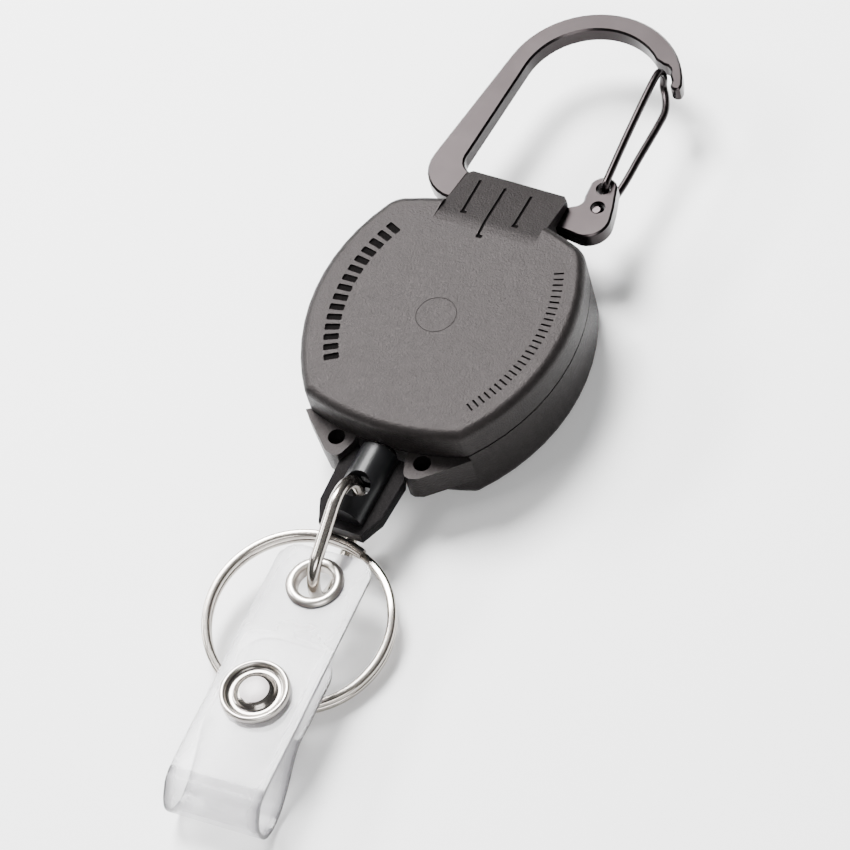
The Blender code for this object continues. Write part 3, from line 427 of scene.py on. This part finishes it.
def vary(tree, source, target, low, high, x, y):
    """Moves a number socket of the shader between two values by a mask."""
    span = add_node(tree, "ShaderNodeMapRange", x, y)
    span.inputs["To Min"].default_value = low
    span.inputs["To Max"].default_value = high
    tree.links.new(source, span.inputs["Value"])
    tree.links.new(span.outputs[0], target)


def tint(tree, mask, first, second, target, x, y):
    """Moves a colour socket between two colours by a mask."""
    mix = add_node(tree, "ShaderNodeMix", x, y, data_type="RGBA")
    mix.inputs["A"].default_value = (*first, 1.0)
    mix.inputs["B"].default_value = (*second, 1.0)
    tree.links.new(mask, mix.inputs["Factor"])
    tree.links.new(mix.outputs["Result"], target)


def bump(tree, shader, height, strength, depth):
    node = add_node(tree, "ShaderNodeBump", -250, -350, Strength=strength, Distance=depth)
    tree.links.new(height, node.inputs["Height"])
    tree.links.new(node.outputs["Normal"], shader.inputs["Normal"])


def mottled(tree, shader, colour, shade, grain_size, mottle_size):
    """Mottles the base colour between two colours, and returns the grain that does it."""
    grained = use_effect(
        tree, GRAIN, -800, 0, Grain_size=grain_size, Mottle_size=mottle_size
    )
    tint(tree, grained.outputs["Mottle"], colour, shade, shader.inputs["Base Color"], -300, 200)
    return grained


def rough_by(tree, shader, mask, low, high):
    vary(tree, mask, shader.inputs["Roughness"], low, high, -300, 0)


def scuffed(tree, shader, length, width, low, high):
    """Roughens the surface from low to high along handling scuffs."""
    scuffs = use_effect(tree, SCUFFS, -800, -250, Length=length, Width=width)
    rough_by(tree, shader, scuffs.outputs["Scuff"], low, high)


def moulded_plastic(name, dark, light, roughness, grain=0.00030, ior=1.25):
    made, tree, shader = material(name, dark, roughness, IOR=ior)
    shader.inputs["Specular Tint"].default_value = (1.0, 0.90, 0.89, 1.0)
    grained = mottled(tree, shader, dark, light, grain, 0.0011)
    rough_by(tree, shader, grained.outputs["Speck"], roughness - 0.14, roughness + 0.06)
    bump(tree, shader, grained.outputs["Height"], 0.7, 0.00012)
    return made


def satin_metal(name, dark, light, roughness):
    made, tree, shader = material(name, dark, roughness, Metallic=1.0)
    grained = mottled(tree, shader, dark, light, 0.00012, 0.0045)
    scuffed(tree, shader, 0.005, 0.00006, roughness, roughness + 0.10)
    bump(tree, shader, grained.outputs["Height"], 0.25, 0.00001)
    return made


def polished_metal(name, colour, shade, roughness):
    made, tree, shader = material(name, colour, roughness, Metallic=1.0)
    mottled(tree, shader, colour, shade, 0.0006, 0.006)
    scuffed(tree, shader, 0.003, 0.00005, roughness, roughness + 0.12)
    return made


def gloss_plastic(name, colour, shade):
    made, tree, shader = material(name, colour, 0.32, IOR=1.27)
    grained = mottled(tree, shader, colour, shade, 0.0009, 0.004)
    scuffed(tree, shader, 0.002, 0.00007, 0.32, 0.42)
    bump(tree, shader, grained.outputs["Height"], 0.10, 0.00002)
    return made


def braided_cord(name):
    made, tree, shader = material(name, (0.012, 0.012, 0.013), 0.62, Sheen_Weight=0.3)
    braid = add_node(tree, "ShaderNodeTexVoronoi", -800, 0, Scale=4200.0)
    tree.links.new(object_position(tree), braid.inputs["Vector"])
    tint(
        tree, braid.outputs["Distance"], (0.030, 0.030, 0.032), (0.006, 0.006, 0.006),
        shader.inputs["Base Color"], -300, 200,
    )
    bump(tree, shader, braid.outputs["Distance"], 0.8, 0.0001)
    return made


def clear_vinyl(name, colour, shade, low, high, roughness=0.13):
    """Soft clear sheet with painted shade from a per-point mask: where the mask is high it turns
    grey, and what lies behind shows through less.
    """
    made, tree, shader = material(name, colour, roughness, IOR=1.5)
    grained = use_effect(tree, GRAIN, -800, 0, Grain_size=0.0025, Mottle_size=0.006)
    side = add_node(tree, "ShaderNodeAttribute", -800, 350, attribute_name="painted_vinyl_shade")
    tint(tree, side.outputs["Fac"], colour, shade, shader.inputs["Base Color"], -300, 200)
    cloud = add_node(tree, "ShaderNodeMath", -550, -100, operation="MULTIPLY_ADD")
    cloud.inputs[1].default_value = 0.35
    tree.links.new(grained.outputs["Mottle"], cloud.inputs[0])
    tree.links.new(side.outputs["Fac"], cloud.inputs[2])
    vary(tree, cloud.outputs[0], shader.inputs["Alpha"], low, high, -300, -100)
    scuffed(tree, shader, 0.006, 0.0001, roughness, roughness + 0.2)
    bump(tree, shader, grained.outputs["Height"], 0.12, 0.0002)
    return made


def milky_plastic(name, colour, shade):
    made, tree, shader = material(name, colour, 0.25)
    grained = mottled(tree, shader, colour, shade, 0.0006, 0.002)
    rough_by(tree, shader, grained.outputs["Speck"], 0.18, 0.34)
    return made


CASE_PLASTIC = moulded_plastic(
    "case plastic", (0.0050, 0.0045, 0.0045), (0.0110, 0.0097, 0.0096), 0.385
)
# A darker, duller copy of the case plastic: painted shade in the grooves, slots and ticks cut into
# the front face.
MARK_PAINTED_SHADE = moulded_plastic(
    "painted shade in cut marks", (0.0030, 0.0028, 0.0028), (0.0045, 0.0040, 0.0040), 0.80, ior=1.08
)
SPOOL_PLASTIC = moulded_plastic(
    "natural spool plastic", (0.58, 0.57, 0.53), (0.66, 0.65, 0.62), 0.42, 0.0008
)
GUNMETAL_FACE = satin_metal(
    "gunmetal satin face", (0.0170, 0.0145, 0.0147), (0.0240, 0.0205, 0.0208), 0.42
)
GUNMETAL_EDGE = satin_metal(
    "gunmetal polished edge", (0.022, 0.0185, 0.0190), (0.032, 0.0275, 0.0280), 0.26
)
NICKEL = polished_metal("polished nickel", (0.47, 0.435, 0.40), (0.38, 0.35, 0.315), 0.21)
SPRING_STEEL = satin_metal("spring steel", (0.46, 0.46, 0.48), (0.56, 0.56, 0.57), 0.28)
# A darker, duller copy of the case plastic: painted shade inside the ear holes.
BORE_PAINTED_SHADE = moulded_plastic(
    "shaded bore", (0.0030, 0.0027, 0.0027), (0.0045, 0.0040, 0.0040), 0.70, ior=1.06
)
# The head's black with little reflection: painted shade on the keel's faces.
KEEL_SHADED_BLACK = moulded_plastic(
    "keel black with painted shade", (0.0040, 0.0038, 0.0040), (0.0065, 0.0062, 0.0064), 0.42, ior=1.09
)
HEAD_BLACK = gloss_plastic("gloss black", (0.004, 0.004, 0.0045), (0.007, 0.007, 0.0075))
CORD_BLACK = braided_cord("black braided cord")
# The vinyl's faces turn grey by a per-point mask of painted shade.
VINYL_FACE = clear_vinyl(
    "clear vinyl face", (0.70, 0.69, 0.71), (0.10, 0.095, 0.105), 0.16, 0.66
)
# A darker, less clear copy of the vinyl: painted shade along the sheet's cut edges.
VINYL_EDGE_SHADE = clear_vinyl(
    "clear vinyl cut edge with painted shade", (0.10, 0.098, 0.10), (0.06, 0.058, 0.06), 0.70, 0.92, 0.25
)
SATIN_NICKEL = polished_metal("satin nickel", (0.56, 0.525, 0.49), (0.47, 0.44, 0.405), 0.32)
SNAP_DOME = milky_plastic("pearly snap dome", (0.62, 0.58, 0.58), (0.48, 0.44, 0.44))
# A darker copy of the nickel: painted shade in the snap's dished ring and on the snap socket.
NICKEL_PAINTED_SHADE = polished_metal("shaded nickel", (0.30, 0.28, 0.26), (0.16, 0.15, 0.14), 0.22)


# ---------------------------------------------------------------- case

def carry_neck_slope(shell):
    """The neck's slope carried back into the front face, and eased into it by shallower slopes."""
    for share in (0.25, 0.5, 0.75, 1.0):
        angle = RAMP_ANGLE * share
        start_y = RAMP_START_Y - RAMP_BLEND * (1 - math.tan(angle / 2) / math.tan(RAMP_ANGLE / 2))
        wedge = block((0.0166, 0.0120, 0.0030))
        place(wedge, Matrix.Translation((0, 0.0060, 0.0015)))
        hinge = Matrix.Translation((0, start_y, FACE_Z - 0.00003))
        place(wedge, hinge @ Matrix.Rotation(-angle, 4, "X"))
        cut(shell, [wedge], CASE_PLASTIC)


def on_front(x, y):
    """The point of the front face or of the neck's slope at x, y."""
    return Vector((x, y, FACE_Z - max(0.0, y - RAMP_START_Y) * math.tan(RAMP_ANGLE)))


def groove_cutters():
    """Three grooves that run down the neck's slope, each to a small oblong foot."""
    cutters = []
    for top_x, top_y, foot_x, foot_y in GROOVES:
        knots = [on_front(foot_x, foot_y), on_front(top_x, top_y)]
        if foot_y < RAMP_START_Y:
            bend_x = foot_x + (top_x - foot_x) * (RAMP_START_Y - foot_y) / (top_y - foot_y)
            knots.insert(1, on_front(bend_x, RAMP_START_Y))
        for start, end in zip(knots, knots[1:]):
            run = end - start
            cutters.append(block(
                (GROOVE_WIDTH, run.length + 0.0001, 2 * MARK_DEPTH), (start + end) / 2,
                math.atan2(run.z, run.xy.length), math.atan2(-run.x, run.y),
            ))
        foot = on_front(foot_x + 0.0002, foot_y)
        cutters.append(block((0.0010, 0.0006, 2.1 * MARK_DEPTH), foot, edge=0.0001))
    return cutters


def arc_marks(side, radius, first, last, count, width, length):
    """A row of plain slots set along one side's plan arc, square to it."""
    cutters = []
    for i in range(count):
        turn = math.radians(first + (last - first) * i / (count - 1))
        x = radius * side * math.cos(turn) - side * SIDE_CURVE_X
        y = SIDE_CURVE_Y + radius * math.sin(turn)
        cutters.append(block(
            (length, width, 2 * MARK_DEPTH), (x, y, FACE_Z), yaw=side * turn, edge=width * 0.2
        ))
    return cutters


def front_shell():
    shell = reworked("front_cover", "front_shell")
    shell.data.materials.append(CASE_PLASTIC)
    carry_neck_slope(shell)
    # The grooves, slots and ticks take the darker, duller plastic on their cut faces: painted shade
    # in the marks.
    cut(shell, groove_cutters(), MARK_PAINTED_SHADE)
    slots = arc_marks(-1, SLOT_ARC_RADIUS, 23.0, -31.0, 15, 0.00110, 0.0023)
    ticks = arc_marks(1, TICK_ARC_RADIUS, 23.0, -33.0, 27, 0.00030, 0.0015)
    cut(shell, slots + ticks, MARK_PAINTED_SHADE)
    cut(shell, [witness_ring(0.0030, 0.00006, 72, FACE_Z)], CASE_PLASTIC)
    tidy(shell)
    used = list(shell.data.materials)
    mark_shade_faces = [used[face.material_index] == MARK_PAINTED_SHADE for face in shell.data.polygons]
    finish(shell, "case", "case_plastic", CASE_PLASTIC, MARK_PAINTED_SHADE, stands_for=["front_cover"])
    face_materials(shell, mark_shade_faces)


def rear_shell():
    shell = reworked("rear_cover", "rear_shell")
    soften(shell, 0.00018, 2, 40.0)
    cut(shell, [witness_ring(radius, 0.00012, 96, 0) for radius in (0.0030, 0.0125)])
    tidy(shell)
    finish(shell, "case", "case_plastic", CASE_PLASTIC, BORE_PAINTED_SHADE, stands_for=["rear_cover"])

    # Faces in the ear holes' bores take the darker plastic: painted shade in the holes.
    def in_bore(face):
        from_axis = math.hypot(abs(face.center.x) - EAR_HOLE_X, face.center.y - EAR_HOLE_Y)
        return from_axis < EAR_BORE_REACH and abs(face.normal.z) < 0.6

    face_materials(shell, [in_bore(face) for face in shell.data.polygons])


# ---------------------------------------------------------------- carabiner and gate

def carabiner():
    plate = reworked("carabiner_plate", "carabiner_blank")
    soften(plate, 0.00014, 2, 30.0)
    tidy(plate, 28.0)
    finish(plate, "case", "gunmetal", GUNMETAL_FACE, GUNMETAL_EDGE, stands_for=["carabiner_plate"])
    face_materials(plate, [abs(face.normal.z) <= 0.9 for face in plate.data.polygons])


def gate():
    """One wire: up from its front pin, over the top and down behind to its rear pin."""
    hinge = Vector(joints["gate_hinge"]["pos_m"])
    pin, stand_off = 0.00175, 0.0023
    turn_in = stand_off * 0.72
    top = GATE_TOP - hinge.xy
    route = [
        (0.0, pin, 0.00034), (0.0, pin, stand_off - 0.0010),
        (0.0, pin + 0.0003, stand_off - 0.0002), (-0.0001, pin + 0.0014, stand_off),
        (top.x * 0.5 - 0.0002, top.y * 0.5, stand_off), (top.x - 0.0001, top.y - 0.0022, stand_off),
        (top.x, top.y - 0.0004, turn_in), (top.x + 0.0001, top.y, 0.0),
        (top.x, top.y - 0.0004, -turn_in), (top.x + 0.0009, top.y - 0.0018, -stand_off),
        (top.x + 0.0019, top.y - 0.0042, -stand_off), (0.0009, top.y - 0.0070, -stand_off),
        (0.0007, top.y * 0.45, -stand_off), (0.0006, pin + 0.0040, -stand_off),
        (0.0, 0.0014 - pin, -stand_off), (0.0, 0.0003 - pin, 0.0002 - stand_off),
        (0.0, -pin, 0.0010 - stand_off), (0.0, -pin, 0.0008),
    ]
    wire = drawn_wire("gate_bow", smooth_route(route, 10), GATE_WIRE_RADIUS)
    place(wire, Matrix.Translation(hinge))
    tidy(wire, 50.0, False)
    finish(wire, "gate", "gunmetal", GUNMETAL_EDGE, stands_for=["gate_wire"])


# ---------------------------------------------------------------- cord and docking head

def pull_cord():
    """The cord from the winding, through the eyelet, to its bead in the head."""
    start_x, start_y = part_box("cord_lead")[0].x + 0.0006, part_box("cord_lead")[1].y - 0.0004
    bead_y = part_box("cord_knot")[1].y + 0.0003
    bends = (
        (start_x, start_y), (start_x * 0.5, (start_y - 0.0180) / 2), (start_x * 0.06, -0.0173),
        (0, -0.0190), (0, CASE_END_Y),
    )
    route = smooth_route([(x, y, HEAD_AXIS_Z) for x, y in bends], 6)
    route += [Vector((0, CASE_END_Y - 0.0001 * i, HEAD_AXIS_Z)) for i in range(1, 13)]
    route += [Vector((0, bead_y, HEAD_AXIS_Z))]
    cord = drawn_wire("pull_cord", route, CORD_RADIUS, 4)
    tidy(cord, 60.0, False)
    finish(cord, None, "cord_fibre", CORD_BLACK, stands_for=["cord_lead"])
    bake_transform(cord)


def docking_head():
    head = reworked("docking_head", "docking_plug")
    soften(head, 0.00030, 3, 30.0)
    tidy(head, 40.0)
    finish(head, "head", "black_plastic", HEAD_BLACK, KEEL_SHADED_BLACK, stands_for=["docking_head"])

    # Faces off the barrel, and level faces low beside it, take the duller black: painted shade on
    # the keel.
    def on_keel(face):
        off_barrel = math.hypot(face.center.x, face.center.z - HEAD_AXIS_Z) - BARREL_RADIUS
        return off_barrel > 0.00005 or face.normal.z > 0.9 and face.center.z < KEEL_TOP_Z

    face_materials(head, [on_keel(face) for face in head.data.polygons])


def bent_link():
    """Round wire bent to a closed oval: a ring of points spun round one end, drawn out and back."""
    bpy.ops.mesh.primitive_circle_add(
        vertices=20, radius=LINK_WIRE_RADIUS, location=(0, 0, LINK_HALF_WIDTH),
        rotation=(math.pi / 2, 0, 0),
    )
    link = new_piece("bent_link")
    bpy.ops.object.transform_apply(location=True, rotation=True, scale=True)
    edit(link)
    for end_y, span in ((0, -LINK_SPAN), (-LINK_SPAN, LINK_SPAN)):
        bpy.ops.mesh.spin(steps=32, angle=math.pi, center=(0, end_y, 0), axis=(1, 0, 0))
        bpy.ops.mesh.extrude_edges_move(TRANSFORM_OT_translate={"value": (0, span, 0)})
    bpy.ops.mesh.select_all(action="SELECT")
    bpy.ops.mesh.remove_doubles(threshold=2e-5)
    done()
    place(link, LINK_PLACE @ Matrix.Rotation(LINK_SLOPE, 4, "X"))
    tidy(link, 60.0, False)
    finish(link, "link", "nickel", NICKEL, stands_for=["oval_link"])


def coiled_ring():
    """Flattened wire wound into two turns, with a short crossing from the lower to the upper."""
    middle = RING_OUTER_RADIUS - RING_BAND / 2
    level = (RING_TURN_HEIGHT + RING_TURN_GAP) / 2
    bpy.ops.mesh.primitive_plane_add(size=1, location=(0, 0, 0), rotation=(math.pi / 2, 0, 0))
    ring = new_piece("coiled_ring")
    ring.scale = (RING_BAND, RING_TURN_HEIGHT, 1)
    bpy.ops.object.transform_apply(location=True, rotation=True, scale=True)
    edit(ring)
    bpy.ops.mesh.bevel(offset=RING_TURN_HEIGHT * 0.36, segments=4, affect="VERTICES", profile=0.5)
    bpy.ops.mesh.select_all(action="SELECT")
    bpy.ops.mesh.delete(type="ONLY_FACE")
    done()
    half_crossing, steps = math.radians(24), 16
    place(ring, Matrix.Rotation(half_crossing, 4, "Z") @ Matrix.Translation((middle, 0, -level)))
    edit(ring)
    bpy.ops.mesh.edge_face_add()

    def wind(count, angle):
        bpy.ops.mesh.spin(steps=count, angle=angle, center=(0, 0, 0), axis=(0, 0, 1))

    def eased(share):
        return share ** 2 * (3 - 2 * share)

    wind(96, 2 * math.pi - 2 * half_crossing)
    for i in range(steps):
        wind(1, 2 * half_crossing / steps)
        lift = 2 * level * (eased((i + 1) / steps) - eased(i / steps))
        bpy.ops.transform.translate(value=(0, 0, lift))
    wind(96, 2 * math.pi - 2 * half_crossing)
    done()
    tilt = Vector((0, 0, 1)).rotation_difference(RING_TILT).to_matrix().to_4x4()
    hinge = Vector(joints["ring_swing"]["pos_m"])
    centre = hinge - Vector((0, 1, -RING_TILT.y)) * middle
    place(ring, Matrix.Translation(centre) @ tilt)
    tidy(ring, 40.0, False)
    finish(ring, "ring", "nickel", NICKEL, stands_for=["split_ring"])


# ---------------------------------------------------------------- strap, grommet and snap

def strap_route():
    """(y, z) along the strap about its grommet: front layer, fold, back layer and tail."""
    fold = STRAP_PLACE.inverted() @ Vector(joints["flap_open"]["pos_m"])
    top_z, drop = 0.0334 * STRAP_RISE, 0.0066
    height = top_z - fold.z
    points = [
        (0.0056, -0.0002), (0.0028, -0.0001), (-0.0100, 0.00035), (-0.0220, 0.00077),
        (-0.0334, top_z), (-0.0364, top_z - height * 0.36), (fold.y, fold.z),
        (-0.0366, fold.z * 0.2 - drop * 0.8), (-0.0334, -drop), (-0.0297, -0.0054),
        (-0.0241, -0.00236), (-0.0194, -0.0025), (-0.0084, -0.00289),
    ]
    return [(p.x, p.y) for p in smooth_route([(y, z, 0) for y, z in points], 12)]


def half_width_at(gone, left, corner):
    """Half the strap's width at a place that is this far from its two ends, with round corners."""
    near = min(gone, left)
    if near >= corner:
        return STRAP_HALF_WIDTH
    return STRAP_HALF_WIDTH - corner + math.sqrt(max(corner ** 2 - (corner - near) ** 2, 0.0))


def vinyl_shade_at(x, y, z):
    """Painted shade on the clear sheet: most at its long sides, more in front, and more where
    single.
    """
    near_side = max(0.0, (abs(x) / STRAP_HALF_WIDTH - 0.76) / 0.24) ** 1.5
    front = 1.0 if z > y * 0.12 - 0.0012 else 0.0
    single = front * min(1.0, max(0.0, (y + 0.0100) / 0.0012))
    return min(1.0, near_side + 0.50 * single + 0.15 * front)


def sheet_strap():
    """One flat sheet with round corners, laid along the strap's route and given its thickness."""
    route = strap_route()
    lengths = [0.0]
    for a, b in zip(route, route[1:]):
        lengths.append(lengths[-1] + math.dist(a, b))
    total = lengths[-1]
    bpy.ops.mesh.primitive_grid_add(
        x_subdivisions=12, y_subdivisions=220, size=2, location=(0, 0, 0)
    )
    strap = new_piece("vinyl_strap")
    for vert in strap.data.vertices:
        share = (1 - math.cos(math.pi * (vert.co.y + 1) / 2)) / 2
        gone = total * share
        i = max(k for k in range(len(lengths) - 1) if lengths[k] <= gone)
        part = (gone - lengths[i]) / (lengths[i + 1] - lengths[i])
        y = route[i][0] * (1 - part) + route[i + 1][0] * part
        z = route[i][1] * (1 - part) + route[i + 1][1] * part
        corner = 0.0030 if gone < total / 2 else 0.0048
        vert.co = (vert.co.x * half_width_at(gone, total - gone, corner), y, z)
    strap.data.materials.append(VINYL_FACE)
    strap.data.materials.append(VINYL_EDGE_SHADE)
    apply_modifier(
        strap, "SOLIDIFY", thickness=STRAP_THICKNESS, offset=0.0, use_even_offset=True,
        material_offset_rim=1,
    )
    holes = []
    behind_snap = (SNAP_OFFSET, -SNAP_DISTANCE, -0.0025)
    for at, radius in (((0, 0, 0), 0.00325), (SNAP_PLACE, 0.0020), (behind_snap, 0.0013)):
        bpy.ops.mesh.primitive_cylinder_add(vertices=48, radius=radius, depth=0.0016, location=at)
        holes.append(new_piece("hole cutter"))
        bpy.ops.object.transform_apply(location=True, rotation=True, scale=True)
    cut(strap, holes)
    # Each point's painted shade: grey at the sheet's long sides and on its single front layer.
    painted_vinyl_shade = strap.data.attributes.new("painted_vinyl_shade", "FLOAT", "POINT")
    for vert, mask in zip(strap.data.vertices, painted_vinyl_shade.data):
        mask.value = vinyl_shade_at(*vert.co)
    place(strap, STRAP_PLACE)
    tidy(strap, 40.0, False)
    # The rim faces take the darker edge vinyl: painted shade along the cut edges.
    cut_edge = [face.material_index == 1 for face in strap.data.polygons]
    finish(strap, None, "vinyl", VINYL_FACE, VINYL_EDGE_SHADE, stands_for=["strap_front", "strap_flap"])
    face_materials(strap, cut_edge)
    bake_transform(strap)


def on_strap(piece, at):
    """Sets a piece that was made about the origin on the strap's front layer, square to it."""
    lean = Matrix.Rotation(-math.atan(STRAP_RISE), 4, "X")
    place(piece, STRAP_PLACE @ Matrix.Translation(at) @ lean)
    tidy(piece, 50.0, False)


def eyelet():
    face, sheet, hole, flange = 0.00045, 0.00045, 0.00265, 0.00425
    crest = (flange + hole) / 2
    ring = turned("eyelet", [
        (hole, -face - sheet), (hole, face + sheet * 0.3), (hole + 0.00012, face + sheet * 0.9),
        (hole + 0.00035, face + sheet * 1.3), (crest, face + sheet * 1.5),
        (crest + 0.0004, face + sheet * 1.3), (flange - 0.00015, face + sheet * 0.7),
        (flange, face + sheet * 0.25), (flange - 0.0001, face), (hole + sheet, face),
        (hole + sheet, -face - sheet),
    ])
    on_strap(ring, (0, 0, 0))
    finish(ring, "strap", "nickel", SATIN_NICKEL, stands_for=["grommet_front"])


def snap_button():
    """The snap's face: a rolled outer rim, a dished ring inside it and a low dome in the middle."""
    face, rim, rivet = 0.00045, 0.0051, 0.0019
    low = face + 0.00032
    button = turned("snap_button", [
        (0.0, -face - 0.0005), (rivet, -face - 0.0005), (rivet, face), (rim * 0.90, face),
        (rim * 0.975, face + 0.00012), (rim, face + 0.00045), (rim * 0.985, face + 0.00085),
        (rim * 0.945, face + 0.00108), (rim * 0.90, face + 0.00110), (rim * 0.855, face + 0.00098),
        (rim * 0.825, face + 0.00070), (rim * 0.80, low + 0.0001), (rim * 0.77, low),
        (rim * 0.66, low - 0.00005), (rim * 0.60, low + 0.00004), (rim * 0.56, low + 0.00030),
        (rim * 0.50, low + 0.00058), (rim * 0.42, low + 0.00078), (rim * 0.30, low + 0.00092),
        (rim * 0.15, low + 0.00100), (0.0, low + 0.00102),
    ])
    on_strap(button, SNAP_PLACE)
    finish(button, "strap", "nickel", SATIN_NICKEL, NICKEL_PAINTED_SHADE, SNAP_DOME, stands_for=["snap_cap"])
    middle = STRAP_PLACE @ Vector(SNAP_PLACE)

    # Faces below the snap's middle or out at the rim take satin nickel; the dished ring takes the
    # darker nickel as painted shade, and the dome the pearly plastic.
    def part(face):
        out = (face.center - middle).xy.length / rim
        if face.center.z <= middle.z or out >= 0.83:
            return 0
        return 2 if out < 0.44 else 1

    face_materials(button, [part(face) for face in button.data.polygons])


# ---------------------------------------------------------------- other pieces, stage and camera

def repaint():
    """Gives each CAD piece that stays its own finish. The snap socket takes the darker nickel,
    painted shade under the strap.
    """
    finishes = {
        "spool": SPOOL_PLASTIC, "spring_cover": SPOOL_PLASTIC,
        "wound_cord": CORD_BLACK, "cord_knot": CORD_BLACK,
        "arbor_post": SPRING_STEEL, "power_spring": SPRING_STEEL,
        "spool_washer": NICKEL, "cord_bushing": NICKEL, "grommet_washer": NICKEL,
        "snap_socket": NICKEL_PAINTED_SHADE, "snap_stud": NICKEL, "snap_back_cap": NICKEL,
    }
    for name, surface in finishes.items():
        data = nodes[name].data
        if data.materials:
            for i in range(len(data.materials)):
                data.materials[i] = surface
        else:
            data.materials.append(surface)


def floor():
    bpy.ops.mesh.primitive_plane_add(size=3.0, location=(0, 0, -0.0002))
    sheet = new_piece("pale_floor")
    surface, _, _ = material("pale paper", (0.97, 0.97, 0.97), 0.90)
    sheet.data.materials.append(surface)


def area_light(name, power, size, at, towards=(0, -0.02, 0)):
    data = bpy.data.lights.new(name, "AREA")
    data.energy = power
    data.shape = "RECTANGLE"
    data.size, data.size_y = size
    lamp = bpy.data.objects.new(name, data)
    bpy.context.scene.collection.objects.link(lamp)
    lamp.location = at
    lamp.rotation_euler = (Vector(towards) - Vector(at)).to_track_quat("-Z", "Y").to_euler()


def studio_light():
    world = bpy.data.worlds.new("studio")
    world.use_nodes = True
    bpy.context.scene.world = world
    tree = world.node_tree
    sky = tree.nodes["Background"]
    sky.inputs["Strength"].default_value = 0.22
    position = add_node(tree, "ShaderNodeTexCoord", -900, 0)
    split = add_node(tree, "ShaderNodeSeparateXYZ", -700, 0)
    ramp = add_node(tree, "ShaderNodeValToRGB", -450, 0)
    tree.links.new(position.outputs["Generated"], split.inputs[0])
    tree.links.new(split.outputs["Z"], ramp.inputs["Fac"])
    tree.links.new(ramp.outputs["Color"], sky.inputs["Color"])
    stops = ramp.color_ramp.elements
    stops[0].position, stops[0].color = 0.12, (0.03, 0.03, 0.03, 1)
    stops[1].position, stops[1].color = 0.70, (1.0, 1.0, 1.0, 1)
    area_light("key", 29.0, (0.36, 0.36), (-0.36, 0.32, 0.70))
    area_light("front fill", 5.0, (0.5, 0.25), (0.45, -0.55, 0.60))
    area_light("left strip", 9.0, (0.5, 0.12), (-0.65, 0.02, 0.42))
    area_light("edge light", 1.6, (0.22, 0.16), (-0.36, -0.24, 0.75))


def camera():
    """Looks down from the strap's end and the right, so that the carabiner points up and right."""
    back = Vector((0.3914, -0.4615, 0.7961)).normalized()
    up = Vector((-0.2628, 0.7731, 0.5773)).normalized()
    right = up.cross(back).normalized()
    aim = (-back - 0.00279 * right - 0.0276 * up).normalized()
    back_axis = -aim
    right_axis = up.cross(back_axis).normalized()
    up_axis = back_axis.cross(right_axis)
    data = bpy.data.cameras.new("camera")
    data.lens = 169.4
    data.sensor_width = 36.0
    data.clip_start = 0.01
    made = bpy.data.objects.new("camera", data)
    bpy.context.scene.collection.objects.link(made)
    turn = Matrix((right_axis, up_axis, back_axis)).transposed().to_4x4()
    made.matrix_world = Matrix.Translation(Vector((0, 0, FACE_Z)) + back * 0.5797) @ turn
    bpy.context.scene.camera = made


camera()
studio_light()
floor()
repaint()
front_shell()
rear_shell()
carabiner()
gate()
pull_cord()
docking_head()
bent_link()
coiled_ring()
sheet_strap()
eyelet()
snap_button()
